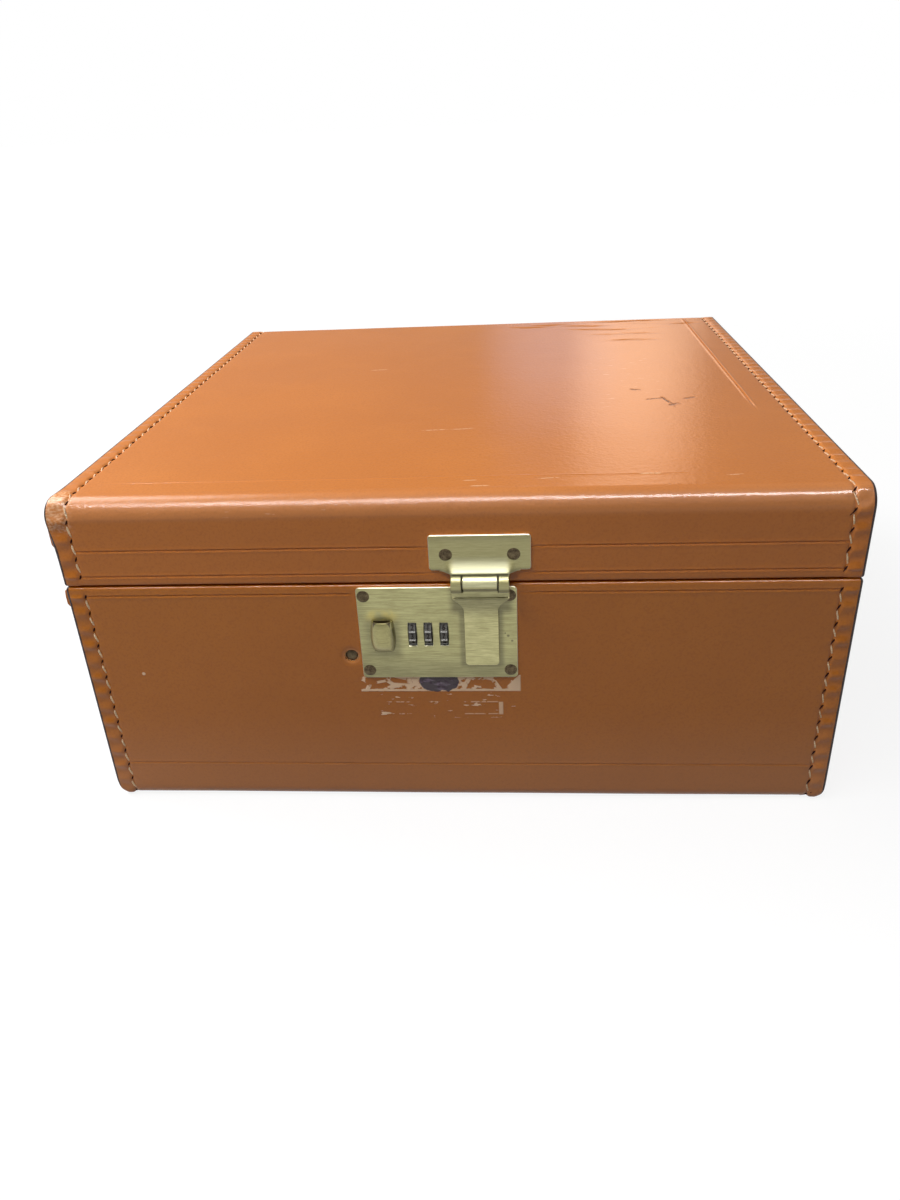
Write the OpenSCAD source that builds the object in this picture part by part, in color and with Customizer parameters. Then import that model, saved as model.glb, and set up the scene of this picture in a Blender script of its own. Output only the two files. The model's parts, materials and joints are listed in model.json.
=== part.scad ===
// Leather covered travel bar case with a combination hasp lock.
// Origin: centre of the bottom face. +X right, +Y to the back, +Z up. Millimetres.

/* [Case] */
// Width of the case across its front
case_w = 400; // [380:1:440]
// Depth of the case from front to back over the leather
case_d = 415; // [395:1:460]
// Height of the seam line above the floor
seam_h = 136.7; // [132:0.1:160]
// Height of the lid above the seam line
lid_h = 46.3; // [42:0.1:70]
// Open gap between the rims of base and lid
seam_gap = 1; // [0.6:0.1:1.6]
// Radius of the long top edges
top_edge_r = 10.6; // [8:0.1:14]
// Radius of the long bottom edges
bottom_edge_r = 7.2; // [5:0.1:10]
// Radius of the leather where it turns over a rim
rim_edge_r = 1.5; // [0.8:0.1:1.7]

/* [Walls] */
// Thickness of the plywood shell
board_t = 6; // [5:0.5:9]
// Radius of the board's edge at the rims
board_edge_r = 0.2; // [0.1:0.05:0.5]
// Thickness of the saddle leather
leather_t = 1.8; // [1.4:0.1:2.4]
// How far the wrap's raw edge stands past the end panel
wrap_proud = 0.4; // [0.2:0.1:0.8]
// Thickness of the cloth lining with its card
lining_t = 1.2; // [0.8:0.1:2]

/* [Tooled lines] */
// Width of a line pressed in the leather
crease_w = 0.8; // [0.5:0.1:1.2]
// Depth of a line pressed in the leather
crease_depth = 0.4; // [0.2:0.1:0.8]
// Distance of the pressed lines beside the seam from their rim
crease_rim = 5.1; // [4:0.1:7]
// Height of the lid's upper pressed line above its rim
crease_lid = 19.3; // [15:0.1:22]
// Height of the base's lower pressed line above the floor
crease_base = 24.3; // [18:0.1:32]
// Distance of the top's pressed lines from the front and right edges
crease_top = 26; // [20:0.5:34]
// Distance of the top's front line from the right edge where it fades out
crease_front_stop = 70; // [40:1:120]
// Distance of the top's side line from the front edge where it starts
crease_side_start = 125; // [60:1:200]
// Distance of the stitching from the ends of the case
stitch_in = 9.5; // [8:0.5:12]

/* [Inner rim] */
// Thickness of the rim band that the lid slips over
rim_t = 2.5; // [2:0.1:4]
// Height of the rim band inside the base
rim_depth = 36; // [30:1:40]
// How far the rim band rises above the base
rim_rise = 7; // [4:0.5:9]
// Free height between the rim band and the lid lining
rim_head_clear = 3; // [2:0.5:4]

/* [Lid pad] */
// Thickness of the padded panel in the lid
pad_t = 5.5; // [3:0.5:8]
// Margin of the padded panel inside the lid lining
pad_margin = 4; // [2:0.5:8]

/* [Partitions] */
// Clear width of each bottle bay
bottle_bay_w = 96.6; // [88:0.1:100]
// Clear length of each tumbler cell
tumbler_cell = 84; // [78:0.5:88]
// Height of the partitions above the floor lining
divider_h = 72; // [60:1:72]
// Thickness of a partition board
divider_t = 5; // [4:0.5:6]
// Side clearance of the halved joint between partitions
lap_clear = 0.15; // [0.1:0.05:0.3]

/* [Lock plate] */
// Width of the lock plate
plate_w = 81.5; // [81:0.1:86]
// Height of the lock plate
plate_h = 53.3; // [53:0.1:58]
// Thickness of the lock plate
plate_t = 1.2; // [1:0.1:1.3]
// Distance of the plate's middle to the left of the case's middle
plate_left = 8; // [0:0.5:20]
// Drop of the plate's top edge below the base rim
plate_drop = 1.1; // [0.8:0.1:3]
// Corner radius of the lock plate
plate_corner_r = 2; // [1:0.1:3]
// Distance of the corner rivets from the plate's side edges
rivet_inset_x = 3.7; // [3.6:0.1:4]
// Distance of the corner rivets from the plate's top and bottom
rivet_inset_z = 4.8; // [4:0.1:5.2]

/* [Rivets] */
// Diameter of a rivet head
rivet_head_d = 6.5; // [6:0.1:6.8]
// Height of a rivet head
rivet_head_h = 1; // [0.8:0.1:1.1]
// Diameter of a rivet shank
rivet_shank_d = 3; // [2.4:0.1:3.2]
// Board left uncut beyond the end of a rivet
rivet_end_cover = 0.5; // [0.3:0.1:1]
// Distance of the single sunk rivet from the plate's left edge
front_rivet_out = 5.7; // [5:0.1:8]
// Height of the single sunk rivet above the plate's lower edge
front_rivet_up = 12.4; // [8:0.1:16]
// Clearance round the single sunk rivet's head
front_rivet_clear = 0.5; // [0.3:0.1:1]

/* [Dials] */
// Radius of a dial over its ridges
dial_r = 8; // [7.8:0.1:8.1]
// Width of a dial's numbered ring
dial_w = 3.4; // [3:0.1:3.6]
// Distance between neighbouring dials
dial_pitch = 8.15; // [7.8:0.05:8.3]
// How far the dials stand out of the plate
dial_proud = 2.2; // [1.8:0.1:2.3]
// Distance of the middle dial to the left of the plate's middle
dial_left = 5; // [4.5:0.1:5.5]
// Height of the dial axis above the plate's lower edge
dial_up = 26.15; // [25.5:0.05:27]
// Width of a dial window
window_w = 4.1; // [4:0.1:4.6]
// Height of a dial window
window_h = 13.5; // [13.5:0.1:15]
// Depth of the flats below a dial's ridges
dial_ridge_h = 0.25; // [0.15:0.05:0.4]
// Width of a dial's ridge
dial_ridge_w = 0.6; // [0.4:0.1:0.8]
// Radius of a dial's code sleeve
sleeve_r = 4.2; // [3.6:0.1:4.4]
// Width of the gate cut in a code sleeve
gate_w = 2; // [1.4:0.1:2.4]
// Depth of the gate cut in a code sleeve
gate_depth = 1.6; // [1:0.1:1.8]
// Free play between neighbouring code sleeves
sleeve_play = 0.2; // [0.1:0.05:0.4]
// Diameter of the dial spindle
spindle_d = 3; // [2.6:0.1:3.2]
// Radius of the spindle's shoulder and of its collar
shoulder_r = 2.8; // [2.4:0.1:3.2]
// Width of the spindle's shoulder and of its collar
shoulder_w = 3; // [2:0.1:4]

/* [Thumb slide] */
// Radius of the formed thumb hood
hood_r = 5.86; // [5.6:0.01:6]
// How far the thumb hood stands out of the plate
hood_proud = 5; // [4.6:0.1:5.1]
// Overall height of the thumb hood
hood_h = 18.4; // [17:0.1:19]
// Wall thickness of the thumb hood
hood_t = 1; // [0.8:0.1:1.2]
// Distance of the hood's middle from the plate's left edge
hood_in = 12.3; // [12:0.1:12.6]
// Height of the hood's lower end above the plate's lower edge
hood_up = 16.2; // [15.8:0.1:17]
// Height of the stem that carries the hood through the plate
stem_h = 7; // [6:0.1:7.2]
// Travel of the thumb slide when it is pushed down
slide_travel = 5; // [4.5:0.1:5]
// Thickness of the latch bar
bar_t = 1.2; // [1:0.1:1.4]
// Height of the latch bar's arm
bar_h = 5; // [4:0.1:5.2]
// Running clearance of the slide against the plate
slide_clear = 0.3; // [0.15:0.05:0.35]
// Wire diameter of the return spring
spring_wire = 0.6; // [0.4:0.1:0.7]
// Mean radius of the return spring
spring_r = 2.1; // [1.8:0.1:2.3]
// Number of turns of the return spring
spring_turns = 6; // [4:1:7]

/* [Lock case] */
// Depth of the lock case behind the plate
lock_case_depth = 15; // [14.8:0.1:17]
// Sheet thickness of the lock case
lock_case_t = 1; // [0.8:0.1:1.2]
// Clearance of the lock case in its cut-out
lock_case_clear = 0.3; // [0.2:0.1:0.6]
// Gap between a corner rivet's shank and the lock case
lock_case_rivet_gap = 1; // [0.6:0.1:1.2]
// Height of the lock case
lock_case_h = 37; // [37:0.5:40]
// Height of the lock case's floor above the plate's lower edge
lock_case_up = 2.2; // [2:0.1:3]
// Thickness of the dial detent strip
detent_t = 0.4; // [0.3:0.05:0.5]
// Clearance between the dials and the detent strip
detent_clear = 0.2; // [0.15:0.05:0.3]

/* [Hasp] */
// Width of the hasp's tongue
tongue_w = 17.4; // [15:0.1:19]
// Thickness of the hasp
hasp_t = 1.5; // [1.2:0.1:1.8]
// Height of the tongue's end above the plate's lower edge
tongue_up = 9.2; // [6:0.1:11]
// Corner radius of the tongue's end
tongue_corner_r = 2; // [1:0.1:3]
// Distance of the hasp's back from the case front
hasp_off = 2.5; // [2.4:0.1:2.9]
// Drop from the hinge pin to the flange's upper edge
flange_drop = 6; // [5.6:0.1:6.4]
// Height of the full-width flange
flange_h = 3.8; // [3:0.1:4.5]
// Height of the tapered shoulders under the flange
shoulder_h = 6.4; // [5:0.1:8]
// Height of the raised lip across the flange
lip_h = 0.9; // [0.6:0.1:1.2]
// How far the lip stands out of the hasp
lip_proud = 0.6; // [0.3:0.1:0.8]
// Width of the catch
catch_w = 5; // [4:0.1:6]
// Thickness of the catch's leg and tip
catch_t = 2.5; // [2:0.1:2.8]
// Depth that the catch reaches behind the case front
catch_reach = 7; // [6.5:0.1:7.5]
// Hook height of the catch's tip below its leg
catch_hook = 3.5; // [3:0.1:4]
// Height of the catch's leg above the latch bar
catch_over_bar = 1; // [0.6:0.1:1.4]
// Side clearance of the catch in its slot
catch_clear = 0.4; // [0.3:0.1:0.8]

/* [Hasp bracket] */
// Width of the bracket on the lid
bracket_w = 50.3; // [46:0.1:56]
// Height of the bracket above its neck
bracket_h = 18.9; // [16:0.1:21]
// Thickness of the bracket
bracket_t = 1.5; // [1.2:0.1:1.8]
// Corner radius of the bracket
bracket_corner_r = 1.6; // [1:0.1:2.5]
// Height of the bracket's lower edge above the lid rim
bracket_up = 7.3; // [6.8:0.1:9]
// Distance of the bracket's middle to the right of the case's middle
bracket_right = 14.6; // [14:0.1:16]
// Distance between the bracket's rivets
bracket_rivet_span = 33.4; // [30:0.1:36]
// Height of the bracket's rivets above its lower edge
bracket_rivet_up = 8.6; // [7:0.1:11]
// Height over which the neck swells out of the bracket
neck_rise = 4.4; // [3:0.1:5.5]
// Drop of the neck's front edge below its brow
neck_lip = 0.6; // [0.4:0.1:1]
// Width of the neck, the flange and the hasp's hinge
neck_w = 29; // [27:0.1:31]
// Width of each of the bracket's knuckles
outer_knuckle_w = 5.5; // [4.5:0.1:6]
// Length of the bracket's square knuckle tails below the pin
knuckle_tail = 4.3; // [3.8:0.1:4.3]
// Radius of the hasp's hinge knuckles
hasp_knuckle_r = 3.6; // [3.3:0.1:3.8]
// Distance of the hasp's hinge pin from the case front
hasp_pin_off = 5; // [4.9:0.1:5.4]
// Height of the hasp's hinge pin above the lid rim
hasp_pin_up = 2.3; // [2:0.1:2.6]
// Diameter of the hasp's hinge pin
hasp_pin_d = 2.8; // [2.4:0.1:3]

/* [Back hinges] */
// Distance of a back hinge's middle from the end of the case
hinge_in = 80; // [50:1:130]
// Width of a back hinge
hinge_w = 45; // [36:0.5:60]
// Height of a hinge leaf below or above the pin
leaf_h = 26; // [22:0.5:30]
// Thickness of a hinge leaf
leaf_t = 1.5; // [1.2:0.1:1.8]
// Distance of a hinge leaf's rivets from the pin
leaf_rivet_up = 16.1; // [14:0.1:18]
// Radius of the back hinge knuckles
hinge_knuckle_r = 3.5; // [3.3:0.1:4]
// Diameter of the back hinge pins
hinge_pin_d = 3; // [2.6:0.1:3.2]
// Clearance between the hinge knuckles and the leather
hinge_stand_off = 0.3; // [0.2:0.1:0.5]
// Side clearance between neighbouring knuckles
knuckle_gap = 0.3; // [0.2:0.05:0.5]
// Length of the stop rib from the pin's middle
stop_reach = 5.5; // [5:0.1:6]
// Gap left between the stop rib and the base leaf
stop_gap = 0.03; // [0.02:0.01:0.06]
// Angle at which the stop rib meets the base leaf
lid_open_angle = 100; // [96:1:104]

/* [Fits] */
// Radial clearance of a turning part on its pin
pin_clear = 0.05; // [0.02:0.01:0.09]
// Radial clearance of a rivet shank in leather and board
rivet_clear = 0.1; // [0.05:0.05:0.2]
// Clearance of a swinging part past its neighbour
swing_clear = 0.3; // [0.2:0.05:0.5]

/* [Hidden] */
$fn = 64;
cut = 0.5;
dial_facets = 10;

leather_colour = [0.62, 0.34, 0.17];
board_colour = [0.72, 0.58, 0.4];
cloth_colour = [0.5, 0.36, 0.24];
rim_colour = [0.36, 0.2, 0.12];
brass_colour = [0.66, 0.62, 0.42];
rivet_colour = [0.3, 0.24, 0.2];
nickel_colour = [0.72, 0.72, 0.74];
steel_colour = [0.55, 0.56, 0.58];

case_h = seam_h + lid_h;
base_top = seam_h - seam_gap / 2;
lid_bottom = seam_h + seam_gap / 2;
front_y = -case_d / 2;
back_y = case_d / 2;

board_x = case_w / 2 - wrap_proud - leather_t;
board_y = case_d / 2 - leather_t;
room_x = board_x - board_t;
room_y = board_y - board_t;
room_bottom = leather_t + board_t;
room_top = case_h - leather_t - board_t;
lined_x = room_x - lining_t;
lined_y = room_y - lining_t;
lined_floor = room_bottom + lining_t;
lined_top = room_top - lining_t;

divider_left_x = -lined_x + bottle_bay_w;
divider_right_x = divider_left_x + divider_t + bottle_bay_w;
tumbler_x = divider_right_x + divider_t;
tumbler_cross_y = lined_y - tumbler_cell - divider_t;
tumbler_front_y = tumbler_cross_y - tumbler_cell - divider_t;
tumbler_long_x = (tumbler_x + lined_x - divider_t) / 2;

plate_x0 = -plate_left - plate_w / 2;
plate_x1 = plate_x0 + plate_w;
plate_z0 = base_top - plate_drop - plate_h;
plate_z1 = plate_z0 + plate_h;
rivet_xs = [plate_x0 + rivet_inset_x, plate_x1 - rivet_inset_x];
rivet_zs = [plate_z0 + rivet_inset_z, plate_z1 - rivet_inset_z];
shank_r = rivet_shank_d / 2;
rivet_head_r = rivet_head_d / 2;
rivet_grip = leather_t + board_t - rivet_end_cover;
front_rivet_x = plate_x0 - front_rivet_out;
front_rivet_z = plate_z0 + front_rivet_up;
front_rivet_hole_r = rivet_head_r + front_rivet_clear;

lock_case_x0 = rivet_xs[0] + shank_r + lock_case_rivet_gap;
lock_case_x1 = rivet_xs[1] - shank_r - lock_case_rivet_gap;
lock_case_z0 = plate_z0 + lock_case_up;

spindle_r = spindle_d / 2;
dial_axis_off = plate_t + dial_proud - dial_r;
dial_axis_y = front_y - dial_axis_off;
dial_axis_z = plate_z0 + dial_up;
dial_mid_x = -plate_left - dial_left;
dial_xs = [dial_mid_x - dial_pitch, dial_mid_x, dial_mid_x + dial_pitch];
dial_row_x0 = dial_xs[0] - dial_w / 2;
dial_row_x1 = dial_xs[2] - dial_w / 2 + dial_pitch - sleeve_play;

hood_x = plate_x0 + hood_in;
hood_z0 = plate_z0 + hood_up;
hood_z1 = hood_z0 + hood_h;
hood_axis_off = plate_t + hood_proud - hood_r;
hood_foot_off = plate_t + slide_clear / 2;
stem_w = hood_r;
stem_z0 = hood_z0 + slide_travel + cut;
stem_z1 = stem_z0 + stem_h;
bar_front_off = -slide_clear;
bar_back_off = bar_front_off - bar_t;
bar_z0 = lock_case_z0 + lock_case_t + slide_travel + cut;
bar_z1 = bar_z0 + bar_h;
bar_x0 = lock_case_x0 + lock_case_t + slide_clear;
spring_seat_z = stem_z0 - bar_t - cut;
spring_seat_depth = 2 * spring_r + spring_wire + 2 * slide_clear;
spring_off = bar_back_off - spring_seat_depth / 2;
spring_z0 = lock_case_z0 + lock_case_t;
spring_z1 = spring_seat_z;

hasp_x0 = bracket_right - neck_w / 2;
hasp_x1 = bracket_right + neck_w / 2;
hasp_pin_z = lid_bottom + hasp_pin_up;
hasp_pin_y = front_y - hasp_pin_off;
hasp_pin_r = hasp_pin_d / 2;
flange_z1 = hasp_pin_z - flange_drop;
flange_z0 = flange_z1 - flange_h;
tongue_z1 = flange_z0 - shoulder_h;
tongue_z0 = plate_z0 + tongue_up;
centre_knuckle_x0 = hasp_x0 + outer_knuckle_w + knuckle_gap;
centre_knuckle_x1 = hasp_x1 - outer_knuckle_w - knuckle_gap;

catch_x0 = bracket_right - catch_w / 2;
catch_x1 = bracket_right + catch_w / 2;
bar_hook_z = bar_z1 + catch_t;
catch_leg_z0 = bar_hook_z + catch_over_bar;
catch_tip_z0 = catch_leg_z0 - catch_hook;
catch_swing = norm([hasp_pin_off + catch_reach, hasp_pin_z - catch_tip_z0]);
catch_slot_z0 = hasp_pin_z - catch_swing - catch_clear;
catch_slot_z1 = catch_leg_z0 + catch_t + catch_clear;

bracket_z0 = lid_bottom + bracket_up;
bracket_z1 = bracket_z0 + bracket_h;
bracket_rivet_xs = [bracket_right - bracket_rivet_span / 2, bracket_right + bracket_rivet_span / 2];
bracket_rivet_z = bracket_z0 + bracket_rivet_up;
awning_z0 = hasp_pin_z + hasp_knuckle_r + 2 * swing_clear;

hinge_xs = [hinge_in - case_w / 2, case_w / 2 - hinge_in];
hinge_pin_y = back_y + hinge_stand_off + hinge_knuckle_r;
hinge_pin_z = seam_h;
hinge_pin_r = hinge_pin_d / 2;
hinge_knuckle_w = (hinge_w - 2 * knuckle_gap) / 3;
leaf_face = hinge_pin_y - back_y - leaf_t;
stop_half_t = (leaf_face + stop_reach * cos(lid_open_angle) - stop_gap) / sin(lid_open_angle);
leaf_rivet_xs = [-hinge_w / 3, 0, hinge_w / 3];

// A flat shape drawn in X and Z, standing out of the case front by off
module on_front(off = 0) {
    translate([0, front_y - off, 0]) rotate([90, 0, 0]) children();
}

// A flat shape drawn in Y and Z, drawn out along X from x0 to x1
module along_x(x0, x1) {
    translate([x0, 0, 0]) rotate([90, 0, 90]) linear_extrude(x1 - x0) children();
}

// A round bar along X
module x_bar(r, x0, x1, y, z) {
    translate([x0, y, z]) rotate([0, 90, 0]) cylinder(r = r, h = x1 - x0);
}

// A box given by its two corners
module span_box(low, high) {
    translate(low) cube(high - low);
}

// The waste outside a rounded corner, with the corner point at the origin
module corner_waste(r) {
    difference() {
        translate([-1, -1]) square(r + 1);
        translate([r, r]) circle(r);
    }
}

// An upright rectangle with one radius for its lower and one for its upper corners
module rounded_profile(half_d, z0, z1, low_r, high_r) {
    difference() {
        translate([-half_d, z0]) square([2 * half_d, z1 - z0]);
        for (side = [0, 1]) mirror([side, 0]) {
            translate([-half_d, z0]) corner_waste(low_r);
            translate([-half_d, z1]) mirror([0, 1]) corner_waste(high_r);
        }
    }
}

// A flat plate in X and Z with rounded corners
module rounded_plate(x0, z0, x1, z1, r) {
    translate([(x0 + x1) / 2, 0]) rounded_profile((x1 - x0) / 2, z0, z1, r, r);
}

// Outside and board outlines of the base and of the lid, in Y and Z
module base_outline() {
    rounded_profile(case_d / 2, 0, base_top, bottom_edge_r, rim_edge_r);
}

module base_board_outline() {
    rounded_profile(board_y, leather_t, base_top - leather_t, bottom_edge_r - leather_t,
        board_edge_r);
}

module lid_outline() {
    rounded_profile(case_d / 2, lid_bottom, case_h, rim_edge_r, top_edge_r);
}

module lid_board_outline() {
    rounded_profile(board_y, lid_bottom + leather_t, case_h - leather_t, board_edge_r,
        top_edge_r - leather_t);
}

// The opening between the boards, from height z0 to height z1
module room(z0, z1) {
    span_box([-room_x, -room_y, z0], [room_x, room_y, z1]);
}

// Positions of rivets on the front, given by their X and Z
module at_front(xs, zs) {
    for (x = xs, z = zs) translate([x, front_y, z]) rotate([90, 0, 0]) children();
}

// Positions of a hinge leaf's rivets on the back, side +1 for the lid and -1 for the base
module at_back(hinge_list, side) {
    for (hinge_x = hinge_list, x = leaf_rivet_xs)
        translate([hinge_x + x, back_y, hinge_pin_z + side * leaf_rivet_up])
            rotate([-90, 0, 0]) children();
}

// A low domed rivet whose head sits on a plate of thickness plate
module rivet(plate) {
    dome_r = (rivet_head_r * rivet_head_r + rivet_head_h * rivet_head_h) / (2 * rivet_head_h);
    intersection() {
        translate([0, 0, plate]) cylinder(r = rivet_head_r, h = rivet_head_h);
        translate([0, 0, plate + rivet_head_h - dome_r]) sphere(dome_r);
    }
    translate([0, 0, -rivet_grip]) cylinder(r = shank_r, h = rivet_grip + plate + rivet_head_h / 2);
}

// The hole that a rivet needs in leather and board
module rivet_hole() {
    translate([0, 0, -rivet_grip - rivet_clear])
        cylinder(r = shank_r + rivet_clear, h = rivet_grip + rivet_clear + 2 * leaf_t);
}

// The cut for the lock case through leather, board, lining and rim band
module lock_cut_out() {
    span_box([lock_case_x0 - lock_case_clear, front_y - cut, lock_case_z0 - lock_case_clear],
        [lock_case_x1 + lock_case_clear, front_y + lock_case_depth + lock_case_clear,
            lock_case_z0 + lock_case_h + lock_case_clear]);
}

// All cuts in the base's front and back for lock and rivets
module base_front_cuts() {
    lock_cut_out();
    at_front(rivet_xs, rivet_zs) rivet_hole();
    at_front([front_rivet_x], [front_rivet_z]) rivet_hole();
    at_back(hinge_xs, -1) rivet_hole();
}

// Straight lines pressed in the front, from stitching to stitching, at the heights zs
module front_creases(zs) {
    half = case_w / 2 - stitch_in;
    for (z = zs)
        span_box([-half, front_y - cut, z - crease_w / 2], [half, front_y + crease_depth, z + crease_w / 2]);
}

// The two lines pressed in the top: one along the front edge and one along the right edge
module top_creases() {
    front_line_y = front_y + crease_top;
    side_line_x = case_w / 2 - crease_top;
    low = case_h - crease_depth;
    high = case_h + cut;
    span_box([-side_line_x, front_line_y - crease_w / 2, low],
        [case_w / 2 - crease_front_stop, front_line_y + crease_w / 2, high]);
    span_box([side_line_x - crease_w / 2, front_y + crease_side_start, low],
        [side_line_x + crease_w / 2, back_y - crease_top / 2, high]);
}

module lid_cuts() {
    at_front(bracket_rivet_xs, [bracket_rivet_z]) rivet_hole();
    at_back(hinge_xs, 1) rivet_hole();
}

module base_carcass() {
    color(board_colour) difference() {
        along_x(-board_x, board_x) base_board_outline();
        room(room_bottom, base_top);
        base_front_cuts();
    }
}

module base_wrap() {
    color(leather_colour) difference() {
        along_x(-case_w / 2, case_w / 2) base_outline();
        along_x(-case_w / 2 - cut, case_w / 2 + cut) base_board_outline();
        span_box([-case_w, -room_y, room_bottom], [case_w, room_y, base_top + cut]);
        base_front_cuts();
        front_creases([crease_base, base_top - crease_rim]);
        at_front([front_rivet_x], [front_rivet_z])
            translate([0, 0, -leather_t]) cylinder(r = front_rivet_hole_r, h = leather_t + cut);
    }
}

// A right-hand end panel: a flat skin over the board and a lip over its rim
module base_end() {
    color(leather_colour) {
        along_x(board_x, board_x + leather_t) base_board_outline();
        span_box([room_x, -room_y, base_top - leather_t], [board_x + leather_t, room_y, base_top]);
    }
}

module base_lining() {
    color(cloth_colour) difference() {
        room(room_bottom, base_top);
        span_box([-lined_x, -lined_y, lined_floor], [lined_x, lined_y, base_top + cut]);
        lock_cut_out();
    }
}

module inner_rim() {
    color(rim_colour) difference() {
        span_box([-lined_x, -lined_y, base_top - rim_depth], [lined_x, lined_y, base_top + rim_rise]);
        span_box([rim_t - lined_x, rim_t - lined_y, base_top - rim_depth - cut],
            [lined_x - rim_t, lined_y - rim_t, base_top + rim_rise + cut]);
        lock_cut_out();
    }
}

// A partition that runs from front to back, with its left face at x0
module long_divider(x0, y0) {
    color(rim_colour)
        span_box([x0, y0, lined_floor], [x0 + divider_t, lined_y, lined_floor + divider_h]);
}

// A partition that runs across the tumbler bay, with its front face at y0
module cross_divider(y0) {
    color(rim_colour)
        span_box([tumbler_x, y0, lined_floor], [lined_x, y0 + divider_t, lined_floor + divider_h]);
}

module tumbler_cross_divider() {
    color(rim_colour) difference() {
        cross_divider(tumbler_cross_y);
        span_box([tumbler_long_x - lap_clear, tumbler_cross_y - cut, lined_floor + divider_h / 2],
            [tumbler_long_x + divider_t + lap_clear, tumbler_cross_y + divider_t + cut,
                lined_floor + divider_h + cut]);
    }
}

module tumbler_long_divider() {
    color(rim_colour) difference() {
        long_divider(tumbler_long_x, tumbler_front_y + divider_t);
        span_box([tumbler_long_x - cut, tumbler_cross_y - lap_clear, lined_floor - cut],
            [tumbler_long_x + divider_t + cut, tumbler_cross_y + divider_t + lap_clear,
                lined_floor + divider_h / 2]);
    }
}

module lock_plate() {
    color(brass_colour) difference() {
        on_front() linear_extrude(plate_t) difference() {
            rounded_plate(plate_x0, plate_z0, plate_x1, plate_z1, plate_corner_r);
            for (x = dial_xs) translate([x - window_w / 2, dial_axis_z - window_h / 2])
                square([window_w, window_h]);
            translate([hood_x - stem_w / 2 - slide_clear, stem_z0 - slide_travel - slide_clear])
                square([stem_w + 2 * slide_clear, stem_h + slide_travel + 2 * slide_clear]);
            translate([catch_x0 - catch_clear, catch_slot_z0])
                square([catch_w + 2 * catch_clear, catch_slot_z1 - catch_slot_z0]);
        }
        at_front(rivet_xs, rivet_zs) rivet_hole();
    }
}

module lock_plate_rivets() {
    color(rivet_colour) at_front(rivet_xs, rivet_zs) rivet(plate_t);
}

module front_rivet() {
    color(rivet_colour) at_front([front_rivet_x], [front_rivet_z]) rivet(-leather_t);
}

module lock_case() {
    inner = lock_case_t;
    color(steel_colour) difference() {
        span_box([lock_case_x0, front_y, lock_case_z0],
            [lock_case_x1, front_y + lock_case_depth, lock_case_z0 + lock_case_h]);
        span_box([lock_case_x0 + inner, front_y - cut, lock_case_z0 + inner],
            [lock_case_x1 - inner, front_y + lock_case_depth - inner,
                lock_case_z0 + lock_case_h - inner]);
        x_bar(spindle_r, lock_case_x0 - cut, lock_case_x1 + cut, dial_axis_y, dial_axis_z);
    }
}

module dial_spindle() {
    color(steel_colour) {
        x_bar(spindle_r, lock_case_x0, lock_case_x1, dial_axis_y, dial_axis_z);
        x_bar(shoulder_r, dial_row_x0 - sleeve_play - shoulder_w, dial_row_x0 - sleeve_play,
            dial_axis_y, dial_axis_z);
    }
}

module spindle_collar() {
    color(steel_colour) difference() {
        x_bar(shoulder_r, dial_row_x1 + sleeve_play, dial_row_x1 + sleeve_play + shoulder_w,
            dial_axis_y, dial_axis_z);
        x_bar(spindle_r, dial_row_x1 - cut, dial_row_x1 + 2 * shoulder_w, dial_axis_y, dial_axis_z);
    }
}

// A spring strip behind the dials, with a foot that stands on the back of the lock case
module detent_strip() {
    strip_off = dial_axis_off - dial_r - detent_clear;
    wall_y = front_y + lock_case_depth - lock_case_t;
    color(steel_colour) {
        span_box([dial_row_x0, front_y - strip_off, dial_axis_z - dial_r / 2],
            [dial_row_x1, front_y - strip_off + detent_t, dial_axis_z + dial_r]);
        span_box([dial_row_x0, front_y - strip_off, dial_axis_z + dial_r - detent_t],
            [dial_row_x1, wall_y, dial_axis_z + dial_r]);
    }
}

// One number dial: a ring with ten flats between ridges, a flat to the front, and a gated code sleeve
module dial(x) {
    flat_r = dial_r - dial_ridge_h;
    turn = 360 / dial_facets;
    color(nickel_colour) translate([x - dial_w / 2, dial_axis_y, dial_axis_z]) difference() {
        union() {
            rotate([0, 90, 0]) cylinder(r = flat_r, h = dial_w, $fn = dial_facets);
            for (i = [0 : dial_facets - 1]) rotate([i * turn, 0, 0])
                translate([0, -dial_ridge_w / 2, flat_r * cos(turn / 2)])
                    cube([dial_w, dial_ridge_w, dial_r - flat_r * cos(turn / 2)]);
            x_bar(sleeve_r, 0, dial_pitch - sleeve_play, 0, 0);
        }
        x_bar(spindle_r + pin_clear, -cut, dial_pitch + cut, 0, 0);
        span_box([dial_w, -gate_w / 2, sleeve_r - gate_depth],
            [dial_pitch + cut, gate_w / 2, sleeve_r + cut]);
    }
}

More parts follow.
